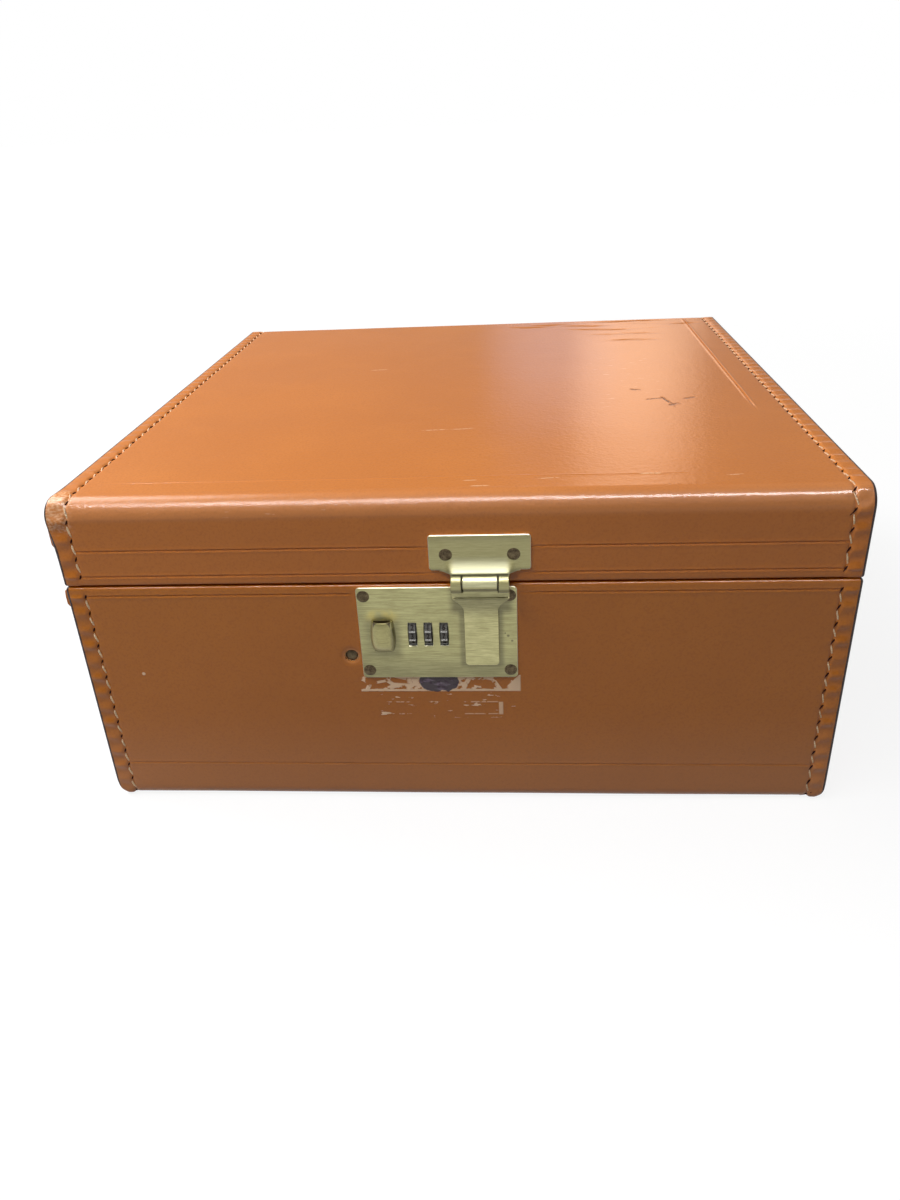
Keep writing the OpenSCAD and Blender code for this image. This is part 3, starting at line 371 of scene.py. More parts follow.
@dataclass(frozen=True)
class Hide:
    """Waxed tan saddle leather: fine grain, broad shifts of tone, marks of use, dyed raw edges, painted sheen on the
    lid's bend, painted floor light near the base's foot and painted shade at the front of the end panels.
    """

    name: str
    wear: Wear = Wear.PLAIN
    dyed_edge: bool = False
    body: Colour = tone(190, 111, 34)
    deep: Colour = tone(174, 98, 28)
    pale: Colour = tone(202, 121, 42)
    dye: Colour = tone(44, 24, 24)
    scuff: Colour = tone(240, 196, 152)

    def material(self) -> bpy.types.Material:
        """Builds the node material."""
        t = ShaderTree(self.name)
        broad, blots, speck = t.noise(120, 2), t.noise(26, 3, shift=4), t.noise(1.3, 3, shift=9)
        colour = t.mix(t.add(0.62, t.times(t.step(broad, 0.3, 0.7), 0.38)), self.deep, self.body)
        colour = t.mix(t.times(t.step(blots, 0.4, 0.8), 0.22), colour, self.pale)
        colour = t.mix(t.times(t.step(speck, 0.45, 0.7), 0.5), colour, self.deep)
        grain, pores = t.noise(1.1, 3, roughness=0.6), t.cells(1.7, feature="F1")
        pebble = t.noise(2.8, 2, shift=15)
        height = t.add(t.times(grain, 0.04), t.times(pores, 0.03), t.times(pebble, 0.14),
                       t.times(blots, 0.12))
        rough = t.add(0.4, t.times(grain, 0.12), t.times(broad, 0.06))
        if self.wear is Wear.LID:
            colour, rough, height = self.lid_marks(t, colour, rough, height)
        elif self.wear is Wear.BASE:
            colour, rough, height = self.base_marks(t, colour, rough, height)
        if self.dyed_edge:
            flare = t.times(t.spot(t.y, t.z, (-205.5, 177), 13, 9), t.fall(t.x, -200, -195), -1.9)
            edge = t.step(t.add(t.math("ABSOLUTE", t.x), t.times(t.noise(6, 2), 0.3), flare), 198.4, 198.9)
            colour = t.mix(edge, colour, self.dye)
            rough = t.add(rough, t.times(edge, 0.12))
        else:
            # Painted shade: the end panels darken at their front, where they stand out past the wrap.
            level = t.fall(t.math("ABSOLUTE", t.x), 199.7, 200.4)
            colour = t.mix(t.times(t.fall(t.y, -203, -200), level, 0.8), colour, self.dye)
        skin_normal = t.bump(height)
        t.put(t.shader.inputs["Coat Normal"], t.bump(height, 0.6))
        return t.finish(colour, rough, skin_normal, Specular_IOR_Level=0.1,
                        Coat_Weight=0.5, Coat_Roughness=0.14)

    def lid_marks(self, t: ShaderTree, colour: Socket, rough: Socket,
                  height: Socket) -> tuple[Socket, Socket, Socket]:
        """Adds the scratches, dents and scuffed corner of the lid, and a paler bend that is partly wear and partly
        painted sheen.

        Args:
            t: The tree being built.
            colour: Colour so far.
            rough: Roughness so far.
            height: Bump height so far.

        Returns:
            The three with the marks added.
        """
        top = t.step(t.z, 180, 181.5)
        marks = [((-66, 46), 11, 4, 0.8), ((-14, -102), 13, 3, 0.7), ((2, -101), 12, 6, 0.6),
                 ((15, -194), 8, 2, 0.7), ((10, -186), 6, 2, 0.6), ((49, -185), 9, 3, 0.6),
                 ((99, -181), 9, 2, 0.6), ((139, -185), 7, 4, 0.6)]
        scratches = t.most(*[t.stroke(t.x, t.y, *mark) for mark in marks])
        scratches = t.times(scratches, top, t.step(t.noise(2.2, shift=3), 0.3, 0.5))
        faint = t.times(top, t.inside(t.x, 84, 130, 6), t.inside(t.y, -70, 62, 8),
                        t.step(t.noise(3, 3, (2.5, 1, 1), 5), 0.62, 0.72))
        corner = t.times(t.fall(t.x, -193, -186), t.step(t.z, 164, 172), t.fall(t.y, -197, -188),
                         t.step(t.noise(1.2, 4, (1.6, 1, 1), 2), 0.4, 0.7))
        arc = t.times(t.step(t.z, 172.5, 175), t.fall(t.z, 181, 182.6), t.fall(t.y, -190, -186),
                      t.step(t.noise(2, 3, (3.5, 1, 1), 8), 0.66, 0.76), t.fall(t.x, -60, 40))
        worn = t.most(t.times(scratches, 0.85), t.times(faint, 0.3), t.times(corner, 0.85),
                      t.times(arc, 0.5))
        dents = [((119, -48), 11, 12, 1.4), ((126, -55), 19, -76, 1.5), ((129, -61), 7, 28, 2.6),
                 ((140, -48), 8, 26, 1.8), ((109, -26), 6, -20, 2.2)]
        pits = t.times(t.most(*[t.stroke(t.x, t.y, *dent) for dent in dents]), top,
                       t.step(t.noise(1.7, 2, shift=2), 0.36, 0.56))
        colour = t.mix(worn, colour, self.scuff)
        colour = t.mix(t.times(pits, 0.6), colour, tone(124, 74, 42))
        # Paler bend: painted sheen below the bend's highlight, together with wear of the bend.
        rubbed_and_sheen = t.times(t.inside(t.z, 173.5, 182, 2.5), t.fall(t.y, -200, -196), 0.2)
        colour = t.mix(rubbed_and_sheen, colour, tone(228, 176, 140))
        bend = t.times(t.step(t.z, 172, 174), t.fall(t.y, -198, -194), t.fall(t.x, -40, 150))
        ticks = t.times(bend, t.add(t.times(t.noise(1.3, 3, (1, 0.2, 0.2), 23), 0.1),
                                    t.times(t.noise(7, 2, shift=5), 0.22)))
        height = t.add(height, t.times(pits, -0.8), t.times(scratches, -0.12), ticks)
        return colour, t.add(rough, t.times(worn, 0.15)), height

    def base_marks(self, t: ShaderTree, colour: Socket, rough: Socket,
                   height: Socket) -> tuple[Socket, Socket, Socket]:
        """Adds the torn label's residue, the ink stain, a painted paler glow of floor light towards the bottom and a
        blotchy darkening along the foot.

        Args:
            t: The tree being built.
            colour: Colour so far.
            rough: Roughness so far.
            height: Bump height so far.

        Returns:
            The three with the marks added.
        """
        front = t.fall(t.y, -206, -205)
        ragged = t.times(t.math("SUBTRACT", t.noise(3.2, 3, shift=6), 0.5), 5)
        islands = t.fall(t.cells(9.5, (1.2, 1, 0.8), 11), 0.075, 0.12)
        tears = t.step(t.noise(6, 3, shift=13), 0.44, 0.5)
        foot = t.inside(t.add(t.z, t.times(ragged, 0.25)), 72.4, 73.8, 0.2)
        wedge = t.times(t.step(t.add(t.x, ragged), 25, 28),
                        t.fall(t.math("SUBTRACT", t.z, t.times(t.x, 1.1)), 45.4, 46.4))
        by_ink = t.times(t.inside(t.add(t.x, ragged), -26, 5, 1), t.step(t.noise(4, 2, shift=21), 0.42, 0.5))
        band = t.times(t.inside(t.x, -51, 34, 0.4), t.inside(t.z, 72.4, 82.5, 0.25))
        residue = t.times(band, t.most(t.times(islands, tears), foot, wedge, by_ink))
        flecks = t.times(t.inside(t.x, -50, 33, 0.6), t.inside(t.z, 55.5, 71.5, 0.5),
                         t.step(t.noise(3.4, 3, (2.2, 1, 0.8), 17), 0.625, 0.66))
        ruled = t.times(t.most(t.inside(t.x, -38, -25, 0.5), t.inside(t.x, 4, 22, 0.5)),
                        t.most(t.inside(t.z, 65.3, 65.9, 0.15), t.inside(t.z, 57.6, 58.2, 0.15)),
                        t.step(t.noise(3, 2, shift=31), 0.45, 0.55))
        tab = t.times(t.inside(t.x, 22.4, 24.6, 0.25), t.inside(t.z, 57.5, 65.5, 0.3))
        fleck = t.spot(t.x, t.z, (-169, 84), 0.9, 0.3)
        residue = t.times(front, t.most(residue, flecks, t.times(ruled, 0.7), t.times(tab, 0.8), fleck))
        run = t.times(t.math("SUBTRACT", t.x, -9.0), 1 / 10.6)
        rise = t.times(t.math("SUBTRACT", t.z, 78.6), 1 / 6.6)
        round_off = t.add(t.times(run, run, run, run), t.times(rise, rise), t.times(ragged, 0.16))
        stain = t.times(front, t.fall(round_off, 0.8, 0.92))
        rub = t.times(stain, t.step(t.noise(2.2, 3, (2.5, 1, 1), 3), 0.52, 0.7))
        ink = t.mix(rub, tone(40, 36, 62), tone(120, 108, 132))
        dimple = t.times(front, t.spot(t.x, t.z, (-54.45, 94.2), 4.6, 0.8))
        # Darker in blotches along the foot.
        dark_foot = t.times(t.fall(t.z, 0.5, 6.5), t.step(t.noise(14, 3, (2, 1, 1), 7), 0.35, 0.6))
        colour = t.mix(t.times(residue, 0.92), colour, tone(255, 222, 186))
        colour = t.mix(t.times(dimple, 0.4), colour, tone(232, 160, 98))
        colour = t.mix(t.times(stain, 0.93), colour, ink)
        # Painted light: the base grows paler towards its bottom, standing in for light bounced off the floor.
        colour = t.mix(t.times(t.fall(t.z, 8, 66), 0.19), colour, tone(228, 170, 132))
        colour = t.mix(t.times(dark_foot, 0.5), colour, tone(96, 62, 44))
        rough = t.add(rough, t.times(residue, 0.3), t.times(stain, 0.15), t.times(dark_foot, 0.12))
        return colour, rough, t.add(height, t.times(residue, 0.12))


@dataclass(frozen=True)
class DarkHide:
    """Dark brown lining leather of the partitions and the inner rim."""

    name: str
    body: Colour = tone(98, 58, 36)
    deep: Colour = tone(70, 40, 26)

    def material(self) -> bpy.types.Material:
        """Builds the node material."""
        t = ShaderTree(self.name)
        grain, blots = t.cells(1.4, feature="F1"), t.noise(20, 3)
        colour = t.mix(t.step(blots, 0.35, 0.65), self.deep, self.body)
        colour = t.mix(t.times(t.step(grain, 0.3, 0.8), 0.3), self.body, colour)
        height = t.add(t.times(grain, 0.1), t.times(t.noise(0.7, 2), 0.05))
        return t.finish(colour, t.add(0.45, t.times(grain, 0.15)), t.bump(height),
                        Specular_IOR_Level=0.35)


@dataclass(frozen=True)
class Brass:
    """Brushed brass with a worn greenish lacquer, brushed along X."""

    name: str
    body: Colour = tone(163, 160, 107)
    light: Colour = tone(184, 180, 127)
    dull: Colour = tone(136, 129, 80)
    roughness: float = 0.4
    pull: float = 0.6
    hood_wear: bool = False
    mouth: bool = False
    face_y: float | None = None
    shades: tuple[tuple[float, float, float, float, float, float], ...] = ()
    polished: tuple[float, float, float, float, float, float] | None = None

    def material(self) -> bpy.types.Material:
        """Builds the node material."""
        t = ShaderTree(self.name)
        long, short = t.noise(0.3, 3, (22, 1, 1)), t.noise(0.18, 2, (12, 1, 1), 5)
        blots, speck = t.noise(11, 3, shift=2), t.noise(0.9, 3, (2.5, 1, 1), 7)
        wide = t.noise(0.8, 3, (16, 1, 1), 12)
        brush = t.add(t.times(long, 0.4), t.times(short, 0.2), t.times(wide, 0.4))
        colour = t.mix(t.step(brush, 0.38, 0.62), self.dull, self.light)
        colour = t.mix(0.35, colour, self.body)
        colour = t.mix(t.times(t.step(blots, 0.5, 0.75), 0.35), colour, self.dull)
        colour = t.mix(t.times(t.step(speck, 0.66, 0.76), 0.22), colour, tone(104, 98, 66))
        rough = t.add(self.roughness - 0.06, t.times(brush, 0.12), t.times(blots, 0.06))
        if self.mouth:
            # Painted shade inside the hood's mouth.
            mouth_shade = t.times(t.inside(t.x, -40.9, -32.0, 0.3), t.step(t.y, -212.1, -211.8), t.step(t.z, 111, 112))
            colour = t.mix(mouth_shade, colour, tone(84, 72, 46))
        if self.hood_wear:
            worn = t.times(t.inside(t.x, -44, -29, 3), t.inside(t.z, 115.5, 122, 2.2),
                           t.step(t.noise(4, 2), 0.3, 0.6))
            colour = t.mix(t.times(worn, 0.55), colour, tone(196, 178, 92))
            knocks = t.most(t.spot(t.x, t.z, (28, 107), 0.7, 0.3), t.spot(t.x, t.z, (30, 104), 0.6, 0.3),
                            t.spot(t.x, t.z, (26.5, 108.5), 0.4, 0.2))
            colour = t.mix(t.times(knocks, 0.7), colour, tone(74, 66, 44))
        # Painted shade: darker zones under and round the fittings, in their gaps and crevices.
        for x0, x1, z0, z1, soft, share in self.shades:
            zone = t.times(t.inside(t.x, x0, x1, soft), t.inside(t.z, z0, z1, soft), share)
            colour = t.mix(zone, colour, tone(70, 62, 34))
        # Painted highlight: whiter brass where the brightest highlight falls, on the bracket's neck and the hasp's
        # barrel.
        if self.polished:
            x0, x1, z0, z1, soft, share = self.polished
            zone = t.times(t.inside(t.x, x0, x1, soft), t.inside(t.z, z0, z1, soft), share)
            colour = t.mix(zone, colour, tone(188, 194, 176))
        if self.face_y is not None:
            # Painted highlight and edge wear: a near-white rim round the front face stands in for the light on its
            # rounded edges.
            rim = t.step(t.y, self.face_y + 0.06, self.face_y + 0.26)
            colour = t.mix(t.times(rim, 0.75), colour, tone(232, 230, 204))
        height = t.add(t.times(brush, 0.012), t.times(blots, 0.05))
        lay = t.node("ShaderNodeTangent", direction_type="UV_MAP", uv_map="brushing").outputs[0]
        t.put(t.shader.inputs["Tangent"], lay)
        return t.finish(colour, rough, t.bump(height), metallic=0.78, Anisotropic=self.pull,
                        Coat_Weight=0.8, Coat_Roughness=0.3)


@dataclass(frozen=True)
class Metal:
    """A turned or drawn metal with light wear, and painted highlights on its ridges when it has them."""

    name: str
    body: Colour
    dull: Colour
    roughness: float = 0.35
    stretch: tuple[float, float, float] = (1, 1, 1)
    metallic: float = 1.0
    ridges: tuple[float, float, int] | None = None

    def material(self) -> bpy.types.Material:
        """Builds the node material."""
        t = ShaderTree(self.name)
        streak, blots = t.noise(0.5, 2, self.stretch), t.noise(2.4, 3, shift=3)
        colour = t.mix(t.step(t.add(t.times(streak, 0.5), t.times(blots, 0.5)), 0.35, 0.65),
                       self.dull, self.body)
        if self.ridges:
            # Painted highlight: a pale line along each ridge between the flats.
            y, z, count = self.ridges
            turn = t.math("ARCTAN2", t.math("SUBTRACT", t.z, z), t.math("SUBTRACT", y, t.y))
            share = t.math("FRACT", t.add(t.times(turn, count / (2 * math.pi)), count))
            colour = t.mix(t.times(t.inside(share, 0.43, 0.57, 0.03), 0.9), colour, tone(206, 205, 200))
        rough = t.add(self.roughness - 0.08, t.times(streak, 0.16))
        height = t.add(t.times(streak, 0.015), t.times(blots, 0.05))
        return t.finish(colour, rough, t.bump(height), metallic=self.metallic)


@dataclass(frozen=True)
class Cloth:
    """Fine brushed twill of the lining."""

    name: str
    body: Colour = tone(150, 112, 76)
    deep: Colour = tone(118, 84, 56)
    thread: float = 0.7

    def material(self) -> bpy.types.Material:
        """Builds the node material."""
        t = ShaderTree(self.name)
        turn = 2 * math.pi / self.thread
        warp = t.math("SINE", t.times(t.add(t.x, t.y, t.z), turn))
        weft = t.math("SINE", t.times(t.add(t.x, t.times(t.y, -1), t.times(t.z, 0.5)), turn * 0.7))
        weave, pile = t.times(t.add(warp, weft), 0.25), t.noise(9, 3)
        colour = t.mix(t.add(t.times(weave, 0.5), t.times(pile, 0.9)), self.deep, self.body)
        height = t.add(t.times(weave, 0.08), t.times(t.noise(0.9, 2), 0.12))
        return t.finish(colour, 0.88, t.bump(height), Specular_IOR_Level=0.2, Sheen_Weight=0.25,
                        Sheen_Roughness=0.5)


@dataclass(frozen=True)
class Plywood:
    """Birch plywood with its plies and face grain."""

    name: str

    def material(self) -> bpy.types.Material:
        """Builds the node material."""
        t = ShaderTree(self.name)
        figure, pores = t.noise(7, 4, (9, 1, 1)), t.noise(0.6, 2, (20, 1, 1), 3)
        colour = t.mix(t.step(figure, 0.35, 0.65), tone(196, 160, 112), tone(222, 190, 142))
        colour = t.mix(t.times(t.step(pores, 0.6, 0.75), 0.4), colour, tone(158, 120, 78))
        return t.finish(colour, t.add(0.6, t.times(figure, 0.1)), t.bump(t.times(pores, 0.06)),
                        Specular_IOR_Level=0.3)


@dataclass(frozen=True)
class Thread:
    """Waxed cream linen thread of two plies."""

    name: str
    body: Colour = tone(254, 236, 200)
    deep: Colour = tone(240, 206, 160)
    soiled: Colour = tone(188, 134, 96)

    def material(self) -> bpy.types.Material:
        """Builds the node material from the run along each stitch."""
        t = ShaderTree(self.name)
        run = t.node("ShaderNodeAttribute", attribute_name="run").outputs["Fac"]
        around = t.node("ShaderNodeAttribute", attribute_name="around").outputs["Fac"]
        twist = t.math("SINE", t.add(t.times(run, 34.0), t.times(around, 2 * math.pi)))
        ply = t.step(twist, -0.6, 0.9)
        colour = t.mix(t.add(t.times(ply, 0.65), t.times(t.noise(3, 2), 0.35)), self.deep, self.body)
        colour = t.mix(t.times(t.step(t.z, 174, 182), 0.6), colour, self.soiled)
        return t.finish(colour, 0.62, t.bump(t.times(ply, 0.09)), Specular_IOR_Level=0.3)


@dataclass(frozen=True)
class Shadow:
    """Painted shade of the awl slots, dark sheets where the holes are, and the black filling of the figures."""

    name: str
    body: Colour = tone(70, 32, 16)

    def material(self) -> bpy.types.Material:
        """Builds the node material."""
        t = ShaderTree(self.name)
        fleck = t.noise(0.4, 2)
        colour = t.mix(fleck, self.body, tone(36, 18, 12))
        return t.finish(colour, t.add(0.7, t.times(fleck, 0.1)), t.bump(t.times(fleck, 0.05)),
                        Specular_IOR_Level=0.05)


class Finishes:
    """Every finish of the case, each built once."""

    @cached_property
    def lid_hide(self) -> bpy.types.Material:
        """Leather of the lid's wrap."""
        return Hide("tan_leather_lid", Wear.LID, True, body=tone(197, 115, 35), deep=tone(181, 102, 29),
                    pale=tone(208, 125, 43)).material()

    @cached_property
    def base_hide(self) -> bpy.types.Material:
        """Leather of the base's wrap."""
        return Hide("tan_leather_base", Wear.BASE, True, body=tone(190, 111, 24), deep=tone(174, 98, 18),
                    pale=tone(202, 121, 30)).material()

    @cached_property
    def end_hide(self) -> bpy.types.Material:
        """Leather of the end panels, with painted shade at their front."""
        return Hide("tan_leather_ends").material()

    @cached_property
    def dark_hide(self) -> bpy.types.Material:
        """Leather of the partitions and the inner rim."""
        return DarkHide("dark_leather").material()

    @cached_property
    def brass(self) -> bpy.types.Material:
        """Brass of the back hinges."""
        return Brass("brushed_brass").material()

    @cached_property
    def bracket_brass(self) -> bpy.types.Material:
        """Brass of the hasp's bracket, a darker copy, with painted shade round its rivets, at its top and lower
        edges, under its knuckles and in their gaps, and a painted highlight across the neck.
        """
        return Brass("brushed_brass_bracket", body=tone(141, 136, 90), light=tone(158, 153, 105), face_y=-209.0,
                     polished=(0.5, 28.9, 143.0, 150.5, 2.2, 0.3),
                     shades=((-3.9, 0.2, 150.9, 155.3, 1.6, 0.45), (29.2, 33.2, 150.9, 155.3, 1.6, 0.45),
                             (-12, 41, 160.4, 164, 2.0, 0.25), (-12, 0, 143, 145.6, 0.8, 0.4),
                             (29.4, 41, 143, 145.6, 0.8, 0.4), (-0.5, 29.7, 134.2, 137.2, 0.6, 0.7),
                             (5.2, 6.2, 134, 143.6, 0.2, 0.85), (23.0, 24.0, 134, 143.6, 0.2, 0.85))).material()

    @cached_property
    def hasp_brass(self) -> bpy.types.Material:
        """Brass of the hasp, a lighter copy painted for the light on its tongue, with painted shade under its flange
        and barrel and in its knuckle gaps, and a painted highlight on the barrel.
        """
        return Brass("brushed_brass_hasp", body=tone(183, 178, 123), light=tone(199, 194, 140),
                     polished=(6.0, 23.2, 138.6, 144.0, 0.8, 0.25),
                     shades=((-3, 32, 122, 132.6, 5, 0.5), (-1, 30, 133.9, 137.3, 0.5, 0.75),
                             (5.4, 6.3, 134, 143.6, 0.2, 0.85), (22.9, 23.8, 134, 143.6, 0.2, 0.85))).material()

    @cached_property
    def plate_brass(self) -> bpy.types.Material:
        """Brass of the lock plate, worn yellow above the thumb hood, with painted shade under the hasp, round the
        tongue and the hood, at its left edge and towards its bottom.
        """
        return Brass("brushed_brass_plate", hood_wear=True, face_y=-208.7,
                     shades=((-0.8, 30.0, 120.5, 136, 2.4, 0.6), (3.2, 25.6, 88.8, 122, 1.3, 0.5),
                             (-45.5, -27.2, 94.5, 117.5, 2.6, 0.42), (-60, 44, 76, 93, 8, 0.42),
                             (-50, -45, 80, 136, 3.0, 0.2))).material()

    @cached_property
    def hood_brass(self) -> bpy.types.Material:
        """Polished brass of the thumb hood, with painted shade at its right side, its foot and in its mouth."""
        return Brass("rubbed_brass", body=tone(150, 143, 90), light=tone(167, 160, 104), roughness=0.28,
                     pull=0.3, mouth=True,
                     shades=((-31.9, -29.0, 97, 113, 0.8, 0.5), (-42, -31, 95.4, 97.4, 0.6, 0.4))).material()

    @cached_property
    def rivet(self) -> bpy.types.Material:
        """Dark oxidised rivets."""
        return Metal("dark_rivet", tone(104, 92, 70), tone(62, 52, 40), 0.42).material()

    @cached_property
    def pin(self) -> bpy.types.Material:
        """Drawn brass of the hinge pins."""
        return Metal("drawn_brass", tone(164, 158, 112), tone(112, 104, 68), 0.4, (8, 1, 1)).material()

    @cached_property
    def nickel(self) -> bpy.types.Material:
        """Nickel of the dials, with painted highlights on the ridges between their flats."""
        return Metal("dial_nickel", tone(94, 92, 86), tone(62, 60, 56), 0.3, (9, 1, 1), 0.3,
                     (-202.9, 107.95, 10)).material()

    @cached_property
    def steel(self) -> bpy.types.Material:
        """Zinc plated steel of the lock's inner parts and the pins."""
        return Metal("plated_steel", tone(158, 160, 162), tone(112, 113, 114), 0.38, (6, 1, 1)).material()

    @cached_property
    def cloth(self) -> bpy.types.Material:
        """Cloth of the lining."""
        return Cloth("lining_cloth").material()

    @cached_property
    def pad_cloth(self) -> bpy.types.Material:
        """Cloth of the padded lid panel."""
        return Cloth("pad_cloth", tone(164, 124, 84), tone(134, 98, 66)).material()

    @cached_property
    def plywood(self) -> bpy.types.Material:
        """Wood of both shells."""
        return Plywood("birch_plywood").material()

    @cached_property
    def thread(self) -> bpy.types.Material:
        """Thread of the stitching."""
        return Thread("linen_thread").material()

    @cached_property
    def slot(self) -> bpy.types.Material:
        """Painted shade of the awl slots."""
        return Shadow("awl_slot").material()

    @cached_property
    def figure(self) -> bpy.types.Material:
        """Filling of the dials' figures."""
        return Shadow("figure_black", tone(36, 34, 32)).material()


# ---------------------------------------------------------------- geometry nodes

class NodeSketch:
    """A Geometry Nodes tree built from plain calls, with named inputs."""

    def __init__(self, name: str, inputs: dict[str, str]) -> None:
        """Starts the tree.

        Args:
            name: Name of the tree.
            inputs: Name and socket type of each input after the geometry.
        """
        self.tree = bpy.data.node_groups.new(name, "GeometryNodeTree")
        face = self.tree.interface
        face.new_socket("Geometry", in_out="OUTPUT", socket_type="NodeSocketGeometry")
        face.new_socket("Path", in_out="INPUT", socket_type="NodeSocketGeometry")
        for key, kind in inputs.items():
            face.new_socket(key, in_out="INPUT", socket_type=kind)
        self.start = self.tree.nodes.new("NodeGroupInput")
        self.end = self.tree.nodes.new("NodeGroupOutput")

    def given(self, name: str) -> Socket:
        """Gives one of the tree's own inputs."""
        return self.start.outputs[name]

    def node(self, kind: str, values: dict[str | int, object] | None = None,
             **settings: object) -> bpy.types.Node:
        """Adds a node with its properties, then its inputs by name or number."""
        made = self.tree.nodes.new(kind)
        for key, value in settings.items():
            setattr(made, key, value)
        for key, value in (values or {}).items():
            if isinstance(value, Socket):
                self.tree.links.new(value, made.inputs[key])
            else:
                made.inputs[key].default_value = value
        return made

    def sum(self, operation: str, first: Number, second: Number) -> Socket:
        """Adds one sum of two numbers."""
        return self.node("ShaderNodeMath", {0: first, 1: second}, operation=operation).outputs[0]

    def vector(self, x: Number, y: Number, z: Number) -> Socket:
        """Joins three numbers into a vector."""
        return self.node("ShaderNodeCombineXYZ", {0: x, 1: y, 2: z}).outputs[0]

    def run(self, piece: bpy.types.Object, values: dict[str, object]) -> bpy.types.Object:
        """Runs the tree on a piece and leaves a plain mesh.

        Args:
            piece: The object that carries the path.
            values: Value of each named input.

        Returns:
            The same object with the made mesh.
        """
        modifier = piece.modifiers.new(self.tree.name, "NODES")
        modifier.node_group = self.tree
        for item in self.tree.interface.items_tree:
            if item.item_type == "SOCKET" and item.in_out == "INPUT" and item.name in values:
                modifier[item.identifier] = values[item.name]
        return bake(piece)


def path_piece(name: str, points: np.ndarray, closed: bool = False) -> bpy.types.Object:
    """Makes a chain of edges through points in millimetres."""
    count = len(points)
    edges = [(i, i + 1) for i in range(count - 1)] + ([(count - 1, 0)] if closed else [])
    mesh = bpy.data.meshes.new(name)
    mesh.from_pydata((np.asarray(points) * MM).tolist(), edges, [])
    piece = bpy.data.objects.new(name, mesh)
    bpy.context.scene.collection.objects.link(piece)
    return piece


